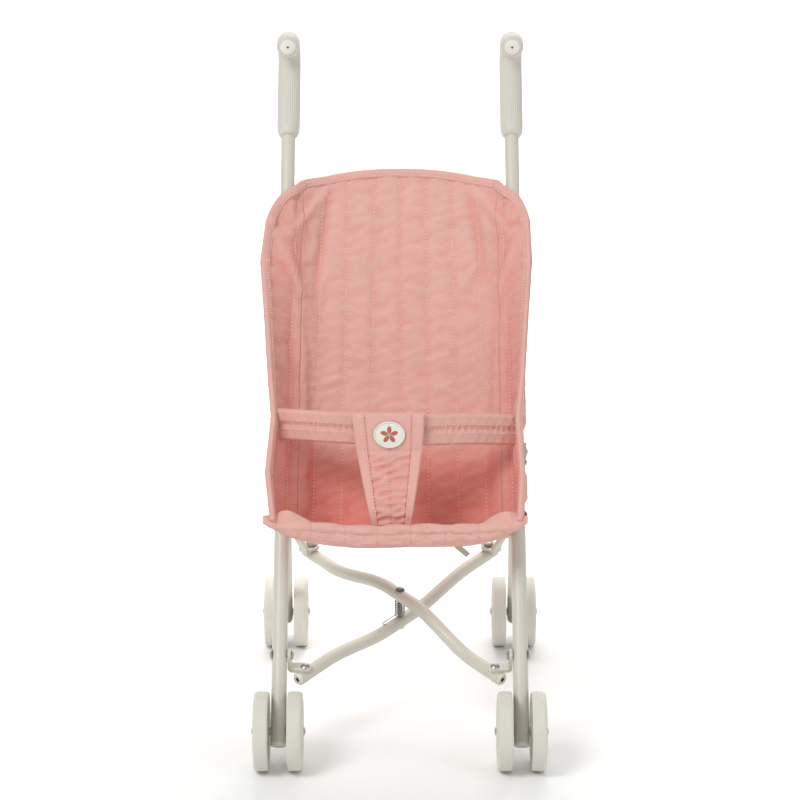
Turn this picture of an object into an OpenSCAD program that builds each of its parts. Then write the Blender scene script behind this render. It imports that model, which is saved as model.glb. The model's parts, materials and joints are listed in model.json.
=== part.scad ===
// Folding doll stroller: two leaning main tubes with crook handles, two rear legs, twin wheels,
// a sprung cross brace under a fabric bucket seat. Millimetres, +Z up, front towards -Y.
// The origin is on the floor, in the middle of the whole stroller.

/* [Wheels] */
// Diameter of every wheel
wheel_d = 64; // [60:0.5:68]
// Width of the tread
tread_w = 12; // [10:0.5:13]
// How far each hub stands proud of the tread
hub_proud = 1.2; // [1:0.1:2.5]
// Fore-and-aft distance between the front and rear axles
wheelbase = 288; // [280:1:296]
// Half the distance between the two rear axle centres
rear_half = 104.6; // [103:0.1:106]
// Diameter of the axle rods
axle_d = 4; // [3:0.5:5]

/* [Main tubes] */
// Half the distance between the two main tubes
half_w = 97.9; // [96:0.1:100]
// Diameter of a main tube
tube_d = 12.4; // [12:0.1:12.8]
// Lean of the main tubes back from upright, in degrees
lean = 33.5; // [32:0.5:35]
// Distance from the front axle up the tube to the foot of the grip
grip_foot = 526; // [515:1:535]

/* [Handles] */
// Diameter of a grip
grip_d = 20; // [18:0.5:21]
// Straight length of a grip
grip_len = 66; // [60:1:72]
// Radius of the crook's centre line
crook_r = 16; // [14:0.5:18]
// How far the crook turns, in degrees
crook_turn = 135; // [120:1:150]
// Straight length after the crook
crook_end = 11; // [8:0.5:14]

/* [Rear legs] */
// Diameter of a rear leg
leg_d = 11.6; // [11:0.1:11.8]
// Distance of the leg pivot behind the main tube's centre line
pivot_back = 15; // [14.6:0.1:16]
// Distance of the leg pivot up the main tube from the front axle
pivot_up = 231.5; // [225:0.5:238]

/* [Cross brace] */
// Diameter of a brace tube
brace_d = 11; // [10:0.1:11.4]
// Half the distance between the two pins at either end of the brace
pin_half = 77.5; // [76:0.5:79]
// Place of the front pins, fore-and-aft and up
front_pin = [40, 65];
// Place of the rear pins, fore-and-aft and up
rear_pin = [210, 113];
// Height of the upper brace tube's bow
upper_bow = 17.5; // [15:0.5:19]
// Depth of the lower brace tube's bow
lower_bow = 10; // [8:0.5:11]

/* [Seat] */
// Distance up the tube to the top of the fabric sleeves
sleeve_top = 476; // [460:1:490]
// Front lower corner of the side panels, fore-and-aft and up
lip = [38, 192];
// Front upper corner of the side panels, fore-and-aft and up
shoulder = [243, 424];
// Foot of the seat back, fore-and-aft and up
crease = [108, 166];
// Thickness of the padded cloth
pad_t = 7; // [5:0.5:8]

/* [Hidden] */

$fn = 48;
wheel_r = wheel_d / 2;
tube_r = tube_d / 2;
leg_r = leg_d / 2;
brace_r = brace_d / 2;
axle_r = axle_d / 2;
grip_r = grip_d / 2;
run = 0.05;          // radial clearance of a turning fit
gap = 0.3;           // clearance between plates that slide on each other
strap_t = 2.8;       // thickness of the brace brackets
strap_w = 10;        // width of the brace brackets
rivet_r = 1.8;       // shank radius of the bracket rivets
head_r = 4.5;        // head radius of every rivet
head_t = 2;          // head height of every rivet
tip = 10;            // how far a tube runs past its axle
cheek_t = 1.6;       // sheet thickness of the hinge bracket
cream = "#d3d0c4";
shell = "#e4e2d8";
metal = "#a9a9a6";
dark = "#4c4944";
pink = "#dca096";
deep_pink = "#c9786b";
badge_cream = "#e6e8df";
webbing_grey = "#9a9086";

// Directions along and behind the leaning tubes, as [Y, Z].
up_tube = [sin(lean), cos(lean)];
behind = [cos(lean), -sin(lean)];
function on_tube(up, back = 0) = [0, wheel_r] + up * up_tube + back * behind;

// The handle's crook, whose outermost point is the back of the stroller.
crook_centre = on_tube(grip_foot + grip_len, -crook_r);
y_back = crook_centre[0] + crook_r + grip_r;
y_mid = (y_back - wheel_r) / 2;

// The rear leg runs from its pivot to the rear axle.
leg_pivot = on_tube(pivot_up, pivot_back);
rear_axle = [wheelbase, wheel_r];
leg_run = rear_axle - leg_pivot;
leg_tilt = atan2(leg_run[0], -leg_run[1]);
leg_splay = atan2(rear_half - half_w, norm(leg_run));
leg_len = norm([leg_run[0], leg_run[1], rear_half - half_w]);

// The brace's plane: y runs from the front pins to the rear pins and z is its normal.
pin_run = rear_pin - front_pin;
plane_tilt = atan2(pin_run[1], pin_run[0]);
plane_len = norm(pin_run);
brace_len = norm([plane_len, 2 * pin_half]);
brace_turn = atan2(2 * pin_half, plane_len);
plane_y = [cos(plane_tilt), sin(plane_tilt)];
plane_n = [-sin(plane_tilt), cos(plane_tilt)];
function cross2(a, b) = a[0] * b[1] - a[1] * b[0];
// Height above the plane at which a normal through a pin meets a line.
function rise_to(pin, start, dir) = cross2(start - pin, dir) / cross2(plane_n, dir);
front_rise = rise_to(front_pin, [0, wheel_r], up_tube);
rear_rise = rise_to(rear_pin, leg_pivot, leg_run);
front_rivet = front_pin + front_rise * plane_n;
rear_rivet = rear_pin + rear_rise * plane_n;
rear_leg_x = half_w + (rear_half - half_w) * norm(rear_rivet - leg_pivot) / norm(leg_run);

module place() translate([0, -y_mid, 0]) children();
module at(point, x = 0) translate([x, point[0], point[1]]) children();
// A frame that stands on the front axle and leans with the main tube on one side.
module on_main(side) place() translate([side * half_w, 0, wheel_r]) rotate([-lean, 0, 0]) children();
// A frame at the leg pivot whose -z runs down the leg.
module on_leg(side) place() at(leg_pivot, side * half_w) rotate([leg_tilt, 0, 0])
    rotate([0, -side * leg_splay, 0]) children();
// A frame in the brace's plane, centred between the front pins.
module in_plane() place() at(front_pin) rotate([plane_tilt, 0, 0]) children();
// A rod along X, centred.
module rod_x(r, len) rotate([0, 90, 0]) cylinder(r = r, h = len, center = true);
// A domed head that stands on z = 0.
module dome(r = head_r, h = head_t) {
    ball = (r * r + h * h) / (2 * h);
    intersection() {
        translate([0, 0, h - ball]) sphere(r = ball, $fn = 64);
        cylinder(r = r + 1, h = h);
    }
}
module dome_x(dir) rotate([0, dir * 90, 0]) dome();

// ---- main tubes and handles ----
module main_tube(side) color(cream) difference() {
    on_main(side) translate([0, 0, -tip]) difference() {
        cylinder(r = tube_r, h = tip + grip_foot + grip_len - 4);
        translate([0, 0, -1]) cylinder(r = tube_r - 1, h = tip + grip_foot + grip_len);
    }
    place() {
        at([0, wheel_r], side * half_w) rod_x(axle_r, 2 * tube_d);
        at(front_rivet, side * half_w) rod_x(rivet_r, 2 * tube_d);
        at(hinge_rivet, side * half_w) rod_x(axle_r, 2 * tube_d);
        at(rail_end, side * half_w) rod_x(rivet_r, 2 * tube_d);
    }
}

module tube_plug(side) color(shell) on_main(side) difference() {
    union() {
        translate([0, 0, -tip]) cylinder(r = tube_r - 1, h = 7);
        translate([0, 0, -tip - 2.5]) intersection() {
            cylinder(r = tube_r, h = 2.5);
            translate([0, 0, 7]) sphere(r = 9, $fn = 64);
        }
    }
    translate([0, 0, -tip - 2]) cube([6.6, 2.2, 5], center = true);
}

module grip(side) color(cream) on_main(side) translate([0, 0, grip_foot]) difference() {
    union() {
        translate([0, 0, 3]) cylinder(r = grip_r, h = grip_len - 3);
        cylinder(r1 = grip_r - 2.5, r2 = grip_r, h = 3);
        translate([0, -crook_r, grip_len]) crook_bend();
        in_crook_end() translate([0, 0, -0.01]) cylinder(r = grip_r, h = crook_end);
    }
    translate([0, 0, -1]) cylinder(r = tube_r, h = grip_len - 3);
}
// The bend starts along +z at y = crook_r and turns towards -y.
module crook_bend() rotate([0, -90, 0]) mirror([0, 0, 1]) rotate([0, 0, 90]) mirror([0, 1, 0])
    rotate_extrude(angle = crook_turn, $fn = 96) translate([crook_r, 0]) circle(r = grip_r);
// The frame on the crook's end face, with z running out of it.
module in_crook_end() translate([0, -crook_r, grip_len]) rotate([crook_turn, 0, 0])
    translate([0, crook_r, 0]) children();

module grip_cap(side) color(shell) on_main(side) translate([0, 0, grip_foot]) in_crook_end()
    translate([0, 0, crook_end - 0.01]) difference() {
        cylinder(r1 = grip_r - 3.2, r2 = grip_r - 4.2, h = 1.2);
        translate([0, 0, 0.4]) cylinder(r = 1, h = 2);
    }

// ---- hinge between main tube and rear leg ----
cheek_in = tube_r;
module cheek_outline() hull() {
    circle(r = 7);
    translate([pivot_back, -4.5]) circle(r = 6.5);
}
module hinge_bracket(side) color(cream) difference() {
    union() {
        for (x = [-1, 1]) on_main(side) translate([x * (cheek_in + cheek_t / 2), 0, pivot_up + 4.5])
            rotate([0, -90, 0]) rotate([0, 0, 90]) linear_extrude(height = cheek_t, center = true)
            cheek_outline();
        on_main(side) translate([0, -tube_r - cheek_t / 2, pivot_up + 4.5])
            cube([2 * (cheek_in + cheek_t), cheek_t, 12], center = true);
        for (x = [-1, 1]) on_main(side)
            translate([x * (cheek_in + cheek_t / 2), -tube_r / 2 - cheek_t / 2, pivot_up + 4.5])
            cube([cheek_t, tube_r + cheek_t, 12], center = true);
    }
    place() at(hinge_rivet, side * half_w) rod_x(axle_r, 3 * tube_d);
    place() at(leg_pivot, side * half_w) rod_x(axle_r, 3 * tube_d);
}
hinge_rivet = on_tube(pivot_up + 4.5);
module hinge_rivets(side) color(metal) place() for (point = [hinge_rivet, leg_pivot]) {
    at(point, side * half_w) rod_x(axle_r, 2 * (cheek_in + cheek_t));
    for (x = [-1, 1]) at(point, side * half_w + x * (cheek_in + cheek_t)) rotate([0, x * 90, 0])
        dome(r = 3.4, h = 1.6);
}

// ---- rear legs ----
module rear_leg(side) color(cream) difference() {
    on_leg(side) union() {
        difference() {
            translate([0, 0, -leg_len - tip]) cylinder(r = leg_r, h = leg_len + tip);
            translate([0, 0, -leg_len - tip - 1]) cylinder(r = leg_r - 1, h = leg_len + tip - 8);
        }
        sphere(r = leg_r, $fn = 64);
    }
    place() {
        at(leg_pivot, side * half_w) rod_x(axle_r + run, 3 * leg_d);
        at(rear_rivet, side * rear_leg_x) rod_x(rivet_r + run, 2 * leg_d);
        at(rear_axle, side * rear_half) rod_x(axle_r, 2 * leg_d);
    }
}
module leg_plug(side) color(shell) on_leg(side) translate([0, 0, -leg_len]) difference() {
    union() {
        translate([0, 0, -tip]) cylinder(r = leg_r - 1, h = 7);
        translate([0, 0, -tip - 2.5]) intersection() {
            cylinder(r = leg_r, h = 2.5);
            translate([0, 0, 7]) sphere(r = 9, $fn = 64);
        }
    }
    translate([0, 0, -tip - 2]) cube([5, 1.4, 4], center = true);
}

// ---- wheels and axles ----
wheel_off = 13.2;    // from the tube's centre to the middle of a tread
hub_in = tread_w / 2 - 0.5;          // hub face next to the tube, from the tread's middle
hub_out = tread_w / 2 + hub_proud;   // hub face away from the tube
washer_r = 3.6;
module axle(point, x, tube) color(metal) place() for (dir = [-1, 1]) {
    washer_t = wheel_off - hub_in - tube - gap;
    at(point, x) rotate([0, dir * 90, 0]) {
        cylinder(r = axle_r, h = wheel_off + hub_out + 1.2);
        translate([0, 0, tube]) cylinder(r = washer_r, h = washer_t);
        translate([0, 0, wheel_off + hub_out + gap]) dome(r = washer_r, h = 1.2);
    }
}
// A wheel's outline from the bore to the tread and back, with fine grooves round the tread.
groove_n = 6;
function tread_edge() = [for (i = [0:groove_n])
    let (x = -tread_w / 2 + 1.2 + i * (tread_w - 2.4) / groove_n)
    each [[wheel_r - 0.3, x - 0.25], [wheel_r, x], [wheel_r - 0.3, x + 0.25]]];
module wheel(point, x, out) color(cream) place() at(point, x) rotate([0, out * 90, 0])
    rotate_extrude($fn = 96) polygon(concat(
        [[axle_r + run, -hub_in], [6, -hub_in], [7, -tread_w / 2 + 2.5], [wheel_r - 9, -tread_w / 2 + 2.5],
        [wheel_r - 6, -tread_w / 2], [wheel_r - 1.8, -tread_w / 2]],
        tread_edge(),
        [[wheel_r - 1.8, tread_w / 2], [wheel_r - 6, tread_w / 2], [wheel_r - 9, tread_w / 2 - 3],
        [8.2, tread_w / 2 - 1.2], [6.2, hub_out], [axle_r + run, hub_out]]));
module front_wheel(side, out) wheel([0, wheel_r], side * (half_w + out * wheel_off), side * out);
module rear_wheel(side, out) wheel(rear_axle, side * (rear_half + out * wheel_off), side * out);

// A round tube carried along a list of points.
function unit(v) = v / norm(v);
function along(p, i) = unit(p[min(i + 1, len(p) - 1)] - p[max(i - 1, 0)]);
function ring(p, i, r, sides) = let (t = along(p, i), u = unit(cross(t, [0, 0, 1])), v = cross(u, t))
    [for (k = [0:sides - 1]) p[i] + r * (cos(k * 360 / sides) * u + sin(k * 360 / sides) * v)];
module swept(p, r, sides) polyhedron(
    points = [for (i = [0:len(p) - 1]) each ring(p, i, r, sides)],
    faces = concat([[for (k = [sides - 1:-1:0]) k]],
        [for (i = [0:len(p) - 2], k = [0:sides - 1]) let (n = (k + 1) % sides)
            [i * sides + k, i * sides + n, (i + 1) * sides + n, (i + 1) * sides + k]],
        [[for (k = [0:sides - 1]) (len(p) - 1) * sides + k]]));

// ---- cross brace ----
tongue_z = brace_r + gap;         // underside of the front tongues above the plane
loose = 1.5;                      // free play above and below the rear tongues
slip = 2.7;                       // how far a rear pin slides each way in its slot
// A smooth step from 0 to 1, and the brace's rise above its pins at a distance y from the middle.
function smooth(t) = let (u = min(max(t, 0), 1)) u * u * (3 - 2 * u);
function rise(bow, y) = bow * smooth((flat_from - abs(y)) / (flat_from - crest_to));
flat_from = 92;      // beyond this distance from the middle a brace tube is straight
crest_to = 14;       // and within this one it is straight too
past_pin = 8;
brace_rings = 30;
function brace_line(bow) = let (half = brace_len / 2 + past_pin)
    [for (i = [0:brace_rings]) let (y = -half + 2 * half * i / brace_rings) [0, y, rise(bow, y)]];
// The frame along a brace tube: y runs from its front end to its rear end.
module in_brace(dir) in_plane() translate([0, plane_len / 2, 0]) rotate([0, 0, -dir * brace_turn]) children();
module brace_tube(dir, bow, pivot_r) color(cream) in_brace(dir) difference() {
    swept(brace_line(bow), brace_r, 32);
    for (y = [-1, 1]) translate([0, y * (brace_len / 2 + past_pin - 5), 0]) rotate([-90 * y, 0, 0])
        cylinder(r = brace_r - 1, h = 6);
    for (y = [-1, 1]) translate([0, y * brace_len / 2, 0]) cylinder(r = rivet_r, h = 3 * brace_d, center = true);
    cylinder(r = pivot_r, h = 6 * brace_d, center = true);
}
module brace_upper() brace_tube(-1, upper_bow, axle_r + run);
module brace_lower() brace_tube(1, -lower_bow, axle_r);
module brace_plugs(dir) color(shell) in_brace(dir) for (y = [-1, 1])
    translate([0, y * (brace_len / 2 + past_pin - 4.5), 0]) rotate([-90 * y, 0, 0]) difference() {
        union() {
            cylinder(r = brace_r - 1, h = 5);
            translate([0, 0, 4.5]) cylinder(r1 = brace_r, r2 = brace_r - 1.2, h = 1.4);
        }
        translate([0, 0, 1.5]) cylinder(r = 2.1, h = 6);
    }
// The rivets at a tube's two ends: a snug one in front and a long one behind.
module brace_end_pins(dir) color(metal) in_brace(dir) {
    front_top = tongue_z + strap_t + gap;
    rear_top = brace_r + 2 * loose + strap_t;
    translate([0, -brace_len / 2, -brace_r]) cylinder(r = rivet_r, h = brace_r + front_top);
    translate([0, -brace_len / 2, front_top]) dome(r = 3.8, h = 1.8);
    translate([0, brace_len / 2, -brace_r]) cylinder(r = rivet_r, h = brace_r + rear_top);
    translate([0, brace_len / 2, rear_top]) dome(r = 4.6, h = 1.6);
    for (y = [-1, 1]) translate([0, y * brace_len / 2, -brace_r]) mirror([0, 0, 1]) dome(r = 2.8, h = 1.2);
}
module brace_pivot_pin() color(dark) in_plane() translate([0, plane_len / 2, 0]) {
    low = -lower_bow - brace_r;
    high = upper_bow + brace_r + gap;
    translate([0, 0, low]) cylinder(r = axle_r, h = high - low);
    translate([0, 0, high]) dome(r = 4, h = 1.8);
    translate([0, 0, low]) mirror([0, 0, 1]) dome(r = 3.4, h = 1.6);
}

// ---- torsion spring on the central pin ----
coil_r = 3.6;
wire_r = 0.55;
coil_turns = 7;
coil_low = -lower_bow + brace_r + 0.8;
coil_high = upper_bow - brace_r - 0.8;
per_turn = 16;
wire_leg = 15;
coil_steps = coil_turns * per_turn;
function coil_point(i) = let (a = i * 360 / per_turn)
    [coil_r * cos(a), coil_r * sin(a), coil_low + (coil_high - coil_low) * i / coil_steps];
// The lower leg leaves the coil at a tangent and lies along the lower tube.
wire = concat([[coil_r, -wire_leg, coil_low], [coil_r, -wire_leg / 2, coil_low]],
    [for (i = [0:coil_steps]) coil_point(i)]);
module brace_spring() color(metal) in_brace(1) swept(wire, wire_r, 8);

// ---- brackets between the brace and the side frames ----
// Built for the left side, at x = 0 over the pin, in the brace's plane; m mirrors it to the right.
plate_out = pin_half - half_w + tube_r + gap;    // outer face of the front upright, from the pin
module front_bracket(side) color(cream) in_plane() mirror([side > 0 ? 1 : 0, 0, 0])
    translate([-pin_half, 0, 0]) difference() {
        union() {
            translate([plate_out, -strap_w / 2, tongue_z + 4]) cube([strap_t, strap_w, front_rise - tongue_z - 4]);
            translate([plate_out, 0, front_rise]) rotate([0, 90, 0]) cylinder(r = strap_w / 2, h = strap_t);
            translate([plate_out + 4, -strap_w / 2, tongue_z]) cube([-plate_out - 4, strap_w, strap_t]);
            translate([0, 0, tongue_z]) cylinder(r = strap_w / 2, h = strap_t);
            translate([plate_out + 4, strap_w / 2, tongue_z + 4]) rotate([90, 0, 0]) difference() {
                cylinder(r = 4, h = strap_w);
                translate([0, 0, -1]) cylinder(r = 4 - strap_t, h = strap_w + 2);
                translate([0, -5, -1]) cube([6, 10, strap_w + 2]);
                translate([-6, 0, -1]) cube([12, 6, strap_w + 2]);
            }
        }
        translate([plate_out, 0, front_rise]) rod_x(rivet_r + run, 4 * strap_t);
        cylinder(r = rivet_r + run, h = 4 * brace_d);
    }
module front_bracket_rivet(side) color(metal) place() {
    inner = tube_r + 2 * gap + strap_t;
    at(front_rivet, side * half_w) translate([-side * (inner - tube_r) / 2, 0, 0]) rod_x(rivet_r, inner + tube_r);
    at(front_rivet, side * (half_w - inner)) dome_x(-side);
    at(front_rivet, side * (half_w + tube_r)) dome_x(side);
}
// The rear strap is twisted so that its tongue lies square across the brace tube.
rear_z = brace_r + loose;
tongue_back = 12;                 // from the pin back to the bend
eye_out = pin_half - rear_leg_x + leg_r + gap + 0.2;    // outer face of the eye, from the pin
module tongue_frame() rotate([0, 0, 90 - brace_turn]) children();
module rear_bracket(side) color(cream) in_plane() mirror([side > 0 ? 1 : 0, 0, 0])
    translate([-pin_half, plane_len, 0]) difference() {
        union() {
            translate([eye_out, 0, rear_rise]) rotate([0, 90, 0]) cylinder(r = strap_w / 2, h = strap_t);
            hull() {
                translate([eye_out, -strap_w / 2, rear_rise - 4]) cube([strap_t, strap_w, 4]);
                tongue_frame() translate([-tongue_back, -strap_w / 2, rear_z + 5]) cube([strap_t, strap_w, 0.5]);
            }
            tongue_frame() translate([-tongue_back, -strap_w / 2, rear_z]) cube([strap_t, strap_w, 5.2]);
            tongue_frame() translate([-tongue_back, -strap_w / 2, rear_z]) cube([tongue_back, strap_w, strap_t]);
            translate([0, 0, rear_z]) cylinder(r = 6.6, h = strap_t);
        }
        translate([eye_out, 0, rear_rise]) rod_x(rivet_r + run, 4 * strap_t);
        translate([eye_out + strap_t, 0, rear_rise]) rotate([0, 90, 0]) cylinder(r = head_r + gap, h = 6);
        for (y = [-slip, slip]) translate([0, y, rear_z - 1]) cylinder(r = rivet_r + 0.1, h = strap_t + 2);
        translate([-rivet_r - 0.1, -slip, rear_z - 1]) cube([2 * rivet_r + 0.2, 2 * slip, strap_t + 2]);
    }
module rear_bracket_rivet(side) color(metal) place() {
    inner = leg_r + gap + 0.2 + strap_t + gap;
    at(rear_rivet, side * rear_leg_x) translate([-side * (inner - leg_r) / 2, 0, 0])
        rod_x(rivet_r, inner + leg_r + 2 * gap);
    at(rear_rivet, side * (rear_leg_x - inner)) dome_x(-side);
    at(rear_rivet, side * (rear_leg_x + leg_r + gap)) dome_x(side);
}

// ---- seat rails ----
rail_end = on_tube(180);
rail_r = 3;
rail_x = half_w - tube_r - gap - rail_r;
rail_tip = lip + [10, -1];
rail_run = rail_end - rail_tip;
module seat_rail(side) color(cream) place() difference() {
    at(rail_tip, side * rail_x) rotate([-atan2(rail_run[0], rail_run[1]), 0, 0]) union() {
        cylinder(r = rail_r, h = norm(rail_run));
        sphere(r = rail_r, $fn = 48);
        translate([-side * 1.5, 0, norm(rail_run)]) rod_x(5, 2 * rail_r - 3);
    }
    at(rail_end, side * rail_x) rod_x(rivet_r, 6 * rail_r);
}
module rail_screw(side) color(dark) place() {
    inner = half_w - rail_x + rail_r;
    at(rail_end, side * half_w) translate([-side * (inner - tube_r) / 2, 0, 0]) rod_x(rivet_r, inner + tube_r);
    at(rail_end, side * (half_w - inner)) dome_x(-side);
    at(rail_end, side * (half_w + tube_r)) dome_x(side);
}

// ---- seat fabric ----
sleeve_r = tube_r + 2.3;
module tube_sleeve(side) color(pink) on_main(side) for (span = [[192, 218], [256, sleeve_top]])
    translate([0, 0, span[0]]) difference() {
        cylinder(r = sleeve_r, h = span[1] - span[0]);
        translate([0, 0, -1]) cylinder(r = tube_r + 0.1, h = span[1] - span[0] + 2);
    }
side_in = 99.5;
side_out = 109;
side_low = on_tube(176, -sleeve_r - 1);
side_high = on_tube(sleeve_top, -sleeve_r - 1);
module seat_side(side) color(pink) place() translate([side * (side_in + side_out) / 2, 0, 0])
    rotate([90, 0, 90]) linear_extrude(height = side_out - side_in, center = true)
    polygon([lip, lip + [1, 16], shoulder, side_high, side_low]);

back_half = 86;
back_off = 13;       // middle of the back panel behind the tubes' centre lines
back_low = 172;
back_high = 494;
module seat_back() color(pink) on_main(0) translate([0, back_off, 0]) rotate([90, 0, 0])
    linear_extrude(height = pad_t, center = true) polygon([
        [-back_half, back_low], [back_half, back_low], [back_half, back_high - 22],
        [back_half * 0.6, back_high - 5], [0, back_high], [-back_half * 0.6, back_high - 5],
        [-back_half, back_high - 22]]);
base_half = rail_x - rail_r - 1;
base_foot = on_tube(back_low - 4, back_off - pad_t / 2);
module seat_base() color(pink) place() translate([-base_half, 0, 0]) rotate([90, 0, 90])
    linear_extrude(height = 2 * base_half) polygon([lip + [-2, -14], lip + [-2, 2], lip + [2, 4],
        base_foot + [0, pad_t], base_foot + [0, -2], lip + [8, -14]]);

// ---- harness ----
belt_low = 250;
belt_h = 26;
belt_y = 104;
belt_drop = 30;      // how far the belt comes forward in the middle
belt_t = 3;
module belt_path(off) {
    function belt_at(x) = [x, belt_y - belt_drop * cos(90 * x / 98) - off];
    polygon(concat([for (i = [-10:10]) belt_at(9.8 * i)], [for (i = [10:-1:-10]) belt_at(9.8 * i) + [0, belt_t]]));
}
module lap_belt() color(deep_pink) place() translate([0, 0, belt_low]) linear_extrude(height = belt_h) belt_path(0);
crotch_top = belt_low + belt_h + 2;
crotch_y = belt_y - belt_drop - 1;
crotch_x = -9;       // the strap hangs a little left of the middle
crotch_wide = 61;
crotch_foot = 34;
crotch_base = lip[1] + 5;
module crotch_strap() color(deep_pink) place() translate([crotch_x, 0, 0]) intersection() {
    rotate([90, 0, 90]) linear_extrude(height = crotch_wide + 2, center = true) polygon([
        [crotch_y, crotch_top], [crotch_y - 4, crotch_top], [crotch_y - 5, belt_low - 4], [lip[0] + 6, lip[1] + 11],
        [lip[0] + 9, crotch_base], [crotch_y - 1, belt_low - 8]]);
    rotate([90, 0, 0]) linear_extrude(height = 400, center = true) polygon([
        [-crotch_wide / 2, crotch_top + 1], [-crotch_wide / 2 + 3, belt_low], [-crotch_foot / 2, crotch_base - 1],
        [crotch_foot / 2, crotch_base - 1], [crotch_wide / 2 - 1, belt_low], [crotch_wide / 2, crotch_top + 1]]);
}
module badge() color(badge_cream) place() translate([crotch_x, crotch_y - 4.8, belt_low + 13]) rotate([88, 0, 0])
    linear_extrude(height = 1.2) intersection() {
        translate([0, -3]) circle(r = 14);
        translate([0, 3]) circle(r = 14);
    }
module strap_tail() color(webbing_grey) place() translate([50, lip[0] + 12, 169]) rotate([0, 58, 0])
    cube([5, 1, 22], center = true);

main_tube(-1);  // main_tube_left
main_tube(1);  // main_tube_right
grip(-1);  // grip_left
grip(1);  // grip_right
grip_cap(-1);  // grip_cap_left
grip_cap(1);  // grip_cap_right
tube_plug(-1);  // tube_plug_left
tube_plug(1);  // tube_plug_right
hinge_bracket(-1);  // hinge_bracket_left
hinge_bracket(1);  // hinge_bracket_right
hinge_rivets(-1);  // hinge_rivets_left
hinge_rivets(1);  // hinge_rivets_right
rear_leg(-1);  // rear_leg_left
rear_leg(1);  // rear_leg_right
leg_plug(-1);  // leg_plug_left
leg_plug(1);  // leg_plug_right
axle([0, wheel_r], -half_w, tube_r);  // front_axle_left
axle([0, wheel_r], half_w, tube_r);  // front_axle_right
axle(rear_axle, -rear_half, leg_r);  // rear_axle_left
axle(rear_axle, rear_half, leg_r);  // rear_axle_right
front_wheel(-1, 1);  // front_wheel_left_outer
front_wheel(-1, -1);  // front_wheel_left_inner
front_wheel(1, -1);  // front_wheel_right_inner
front_wheel(1, 1);  // front_wheel_right_outer
rear_wheel(-1, 1);  // rear_wheel_left_outer
rear_wheel(-1, -1);  // rear_wheel_left_inner
rear_wheel(1, -1);  // rear_wheel_right_inner
rear_wheel(1, 1);  // rear_wheel_right_outer
front_bracket(-1);  // front_bracket_left
front_bracket(1);  // front_bracket_right
front_bracket_rivet(-1);  // front_bracket_rivet_left
front_bracket_rivet(1);  // front_bracket_rivet_right
rear_bracket(-1);  // rear_bracket_left
rear_bracket(1);  // rear_bracket_right
rear_bracket_rivet(-1);  // rear_bracket_rivet_left
rear_bracket_rivet(1);  // rear_bracket_rivet_right
brace_upper();
brace_lower();
brace_plugs(-1);  // brace_plugs_upper
brace_plugs(1);  // brace_plugs_lower
brace_end_pins(-1);  // brace_end_pins_upper
brace_end_pins(1);  // brace_end_pins_lower
brace_pivot_pin();
brace_spring();
seat_rail(-1);  // seat_rail_left
seat_rail(1);  // seat_rail_right
rail_screw(-1);  // rail_screw_left
rail_screw(1);  // rail_screw_right
tube_sleeve(-1);  // tube_sleeve_left
tube_sleeve(1);  // tube_sleeve_right
seat_side(-1);  // seat_side_left
seat_side(1);  // seat_side_right
seat_back();
seat_base();
lap_belt();
crotch_strap();
badge();
strap_tail();
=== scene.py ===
# %% [markdown]
# # A folding doll stroller
# The stroller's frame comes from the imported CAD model, and it isn't moved here. This lesson gives
# the frame its finishes and builds what CAD can't: moulded grips and wheels, a spring, and a quilted
# cotton seat that is puffed up by a cloth simulation. Everything is in metres, with the front
# towards -Y and up along +Z.

# %% Load the frame
import json
import math

import bmesh
import bpy
import numpy as np
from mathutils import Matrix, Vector


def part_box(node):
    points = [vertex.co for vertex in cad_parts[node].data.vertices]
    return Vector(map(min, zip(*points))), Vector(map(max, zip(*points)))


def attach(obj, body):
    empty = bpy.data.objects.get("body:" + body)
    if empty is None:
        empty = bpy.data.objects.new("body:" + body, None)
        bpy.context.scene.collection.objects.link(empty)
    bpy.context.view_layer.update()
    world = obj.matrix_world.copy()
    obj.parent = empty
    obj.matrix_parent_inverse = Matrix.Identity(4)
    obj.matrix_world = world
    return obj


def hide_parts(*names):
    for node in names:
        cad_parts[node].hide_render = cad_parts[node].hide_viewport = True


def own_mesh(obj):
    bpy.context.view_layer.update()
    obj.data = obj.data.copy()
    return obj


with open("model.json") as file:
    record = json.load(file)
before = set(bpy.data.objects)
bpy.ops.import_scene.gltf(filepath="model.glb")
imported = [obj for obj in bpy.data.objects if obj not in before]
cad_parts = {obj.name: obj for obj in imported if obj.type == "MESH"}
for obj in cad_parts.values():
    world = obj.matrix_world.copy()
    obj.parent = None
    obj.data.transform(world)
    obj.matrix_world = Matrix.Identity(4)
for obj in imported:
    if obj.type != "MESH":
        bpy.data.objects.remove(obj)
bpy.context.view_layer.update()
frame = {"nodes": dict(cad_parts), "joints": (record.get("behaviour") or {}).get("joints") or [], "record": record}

# %% [markdown]
# ## Places that come from the frame
# Joints say where the axles, hinges and brace pins are. The left grip's mount gives the direction of
# the leaning tubes. A point near a tube is then named by three numbers: how far out from the middle
# of the stroller, how far behind the tubes, and how far up the tube from the front axle.

# %% Tubes, pins and axles
MM = 0.001
joints = {j["name"]: j for j in frame["joints"]}
mounts = {m["name"]: m for m in frame["record"]["mounts"]}


def joint_at(name):
    return np.array(joints[name]["pos_m"], float)


up = np.array(mounts["grip_left"]["axis"], float)
behind = np.array([0.0, up[2], -up[1]])
half_w = abs(joint_at("left_leg_swing")[0])
tube_r = (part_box("main_tube_left")[1][0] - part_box("main_tube_left")[0][0]) / 2
axle_at = joint_at("front_wheel_left_outer_spin") * [0, 1, 1]


def near_tube(x, back, rise):
    """The point x metres across, back metres behind the tubes' plane and rise metres up along it."""
    x, back, rise = np.broadcast_arrays(x, back, rise)
    return axle_at + rise[..., None] * up + back[..., None] * behind + x[..., None] * np.array([1.0, 0, 0])


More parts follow.
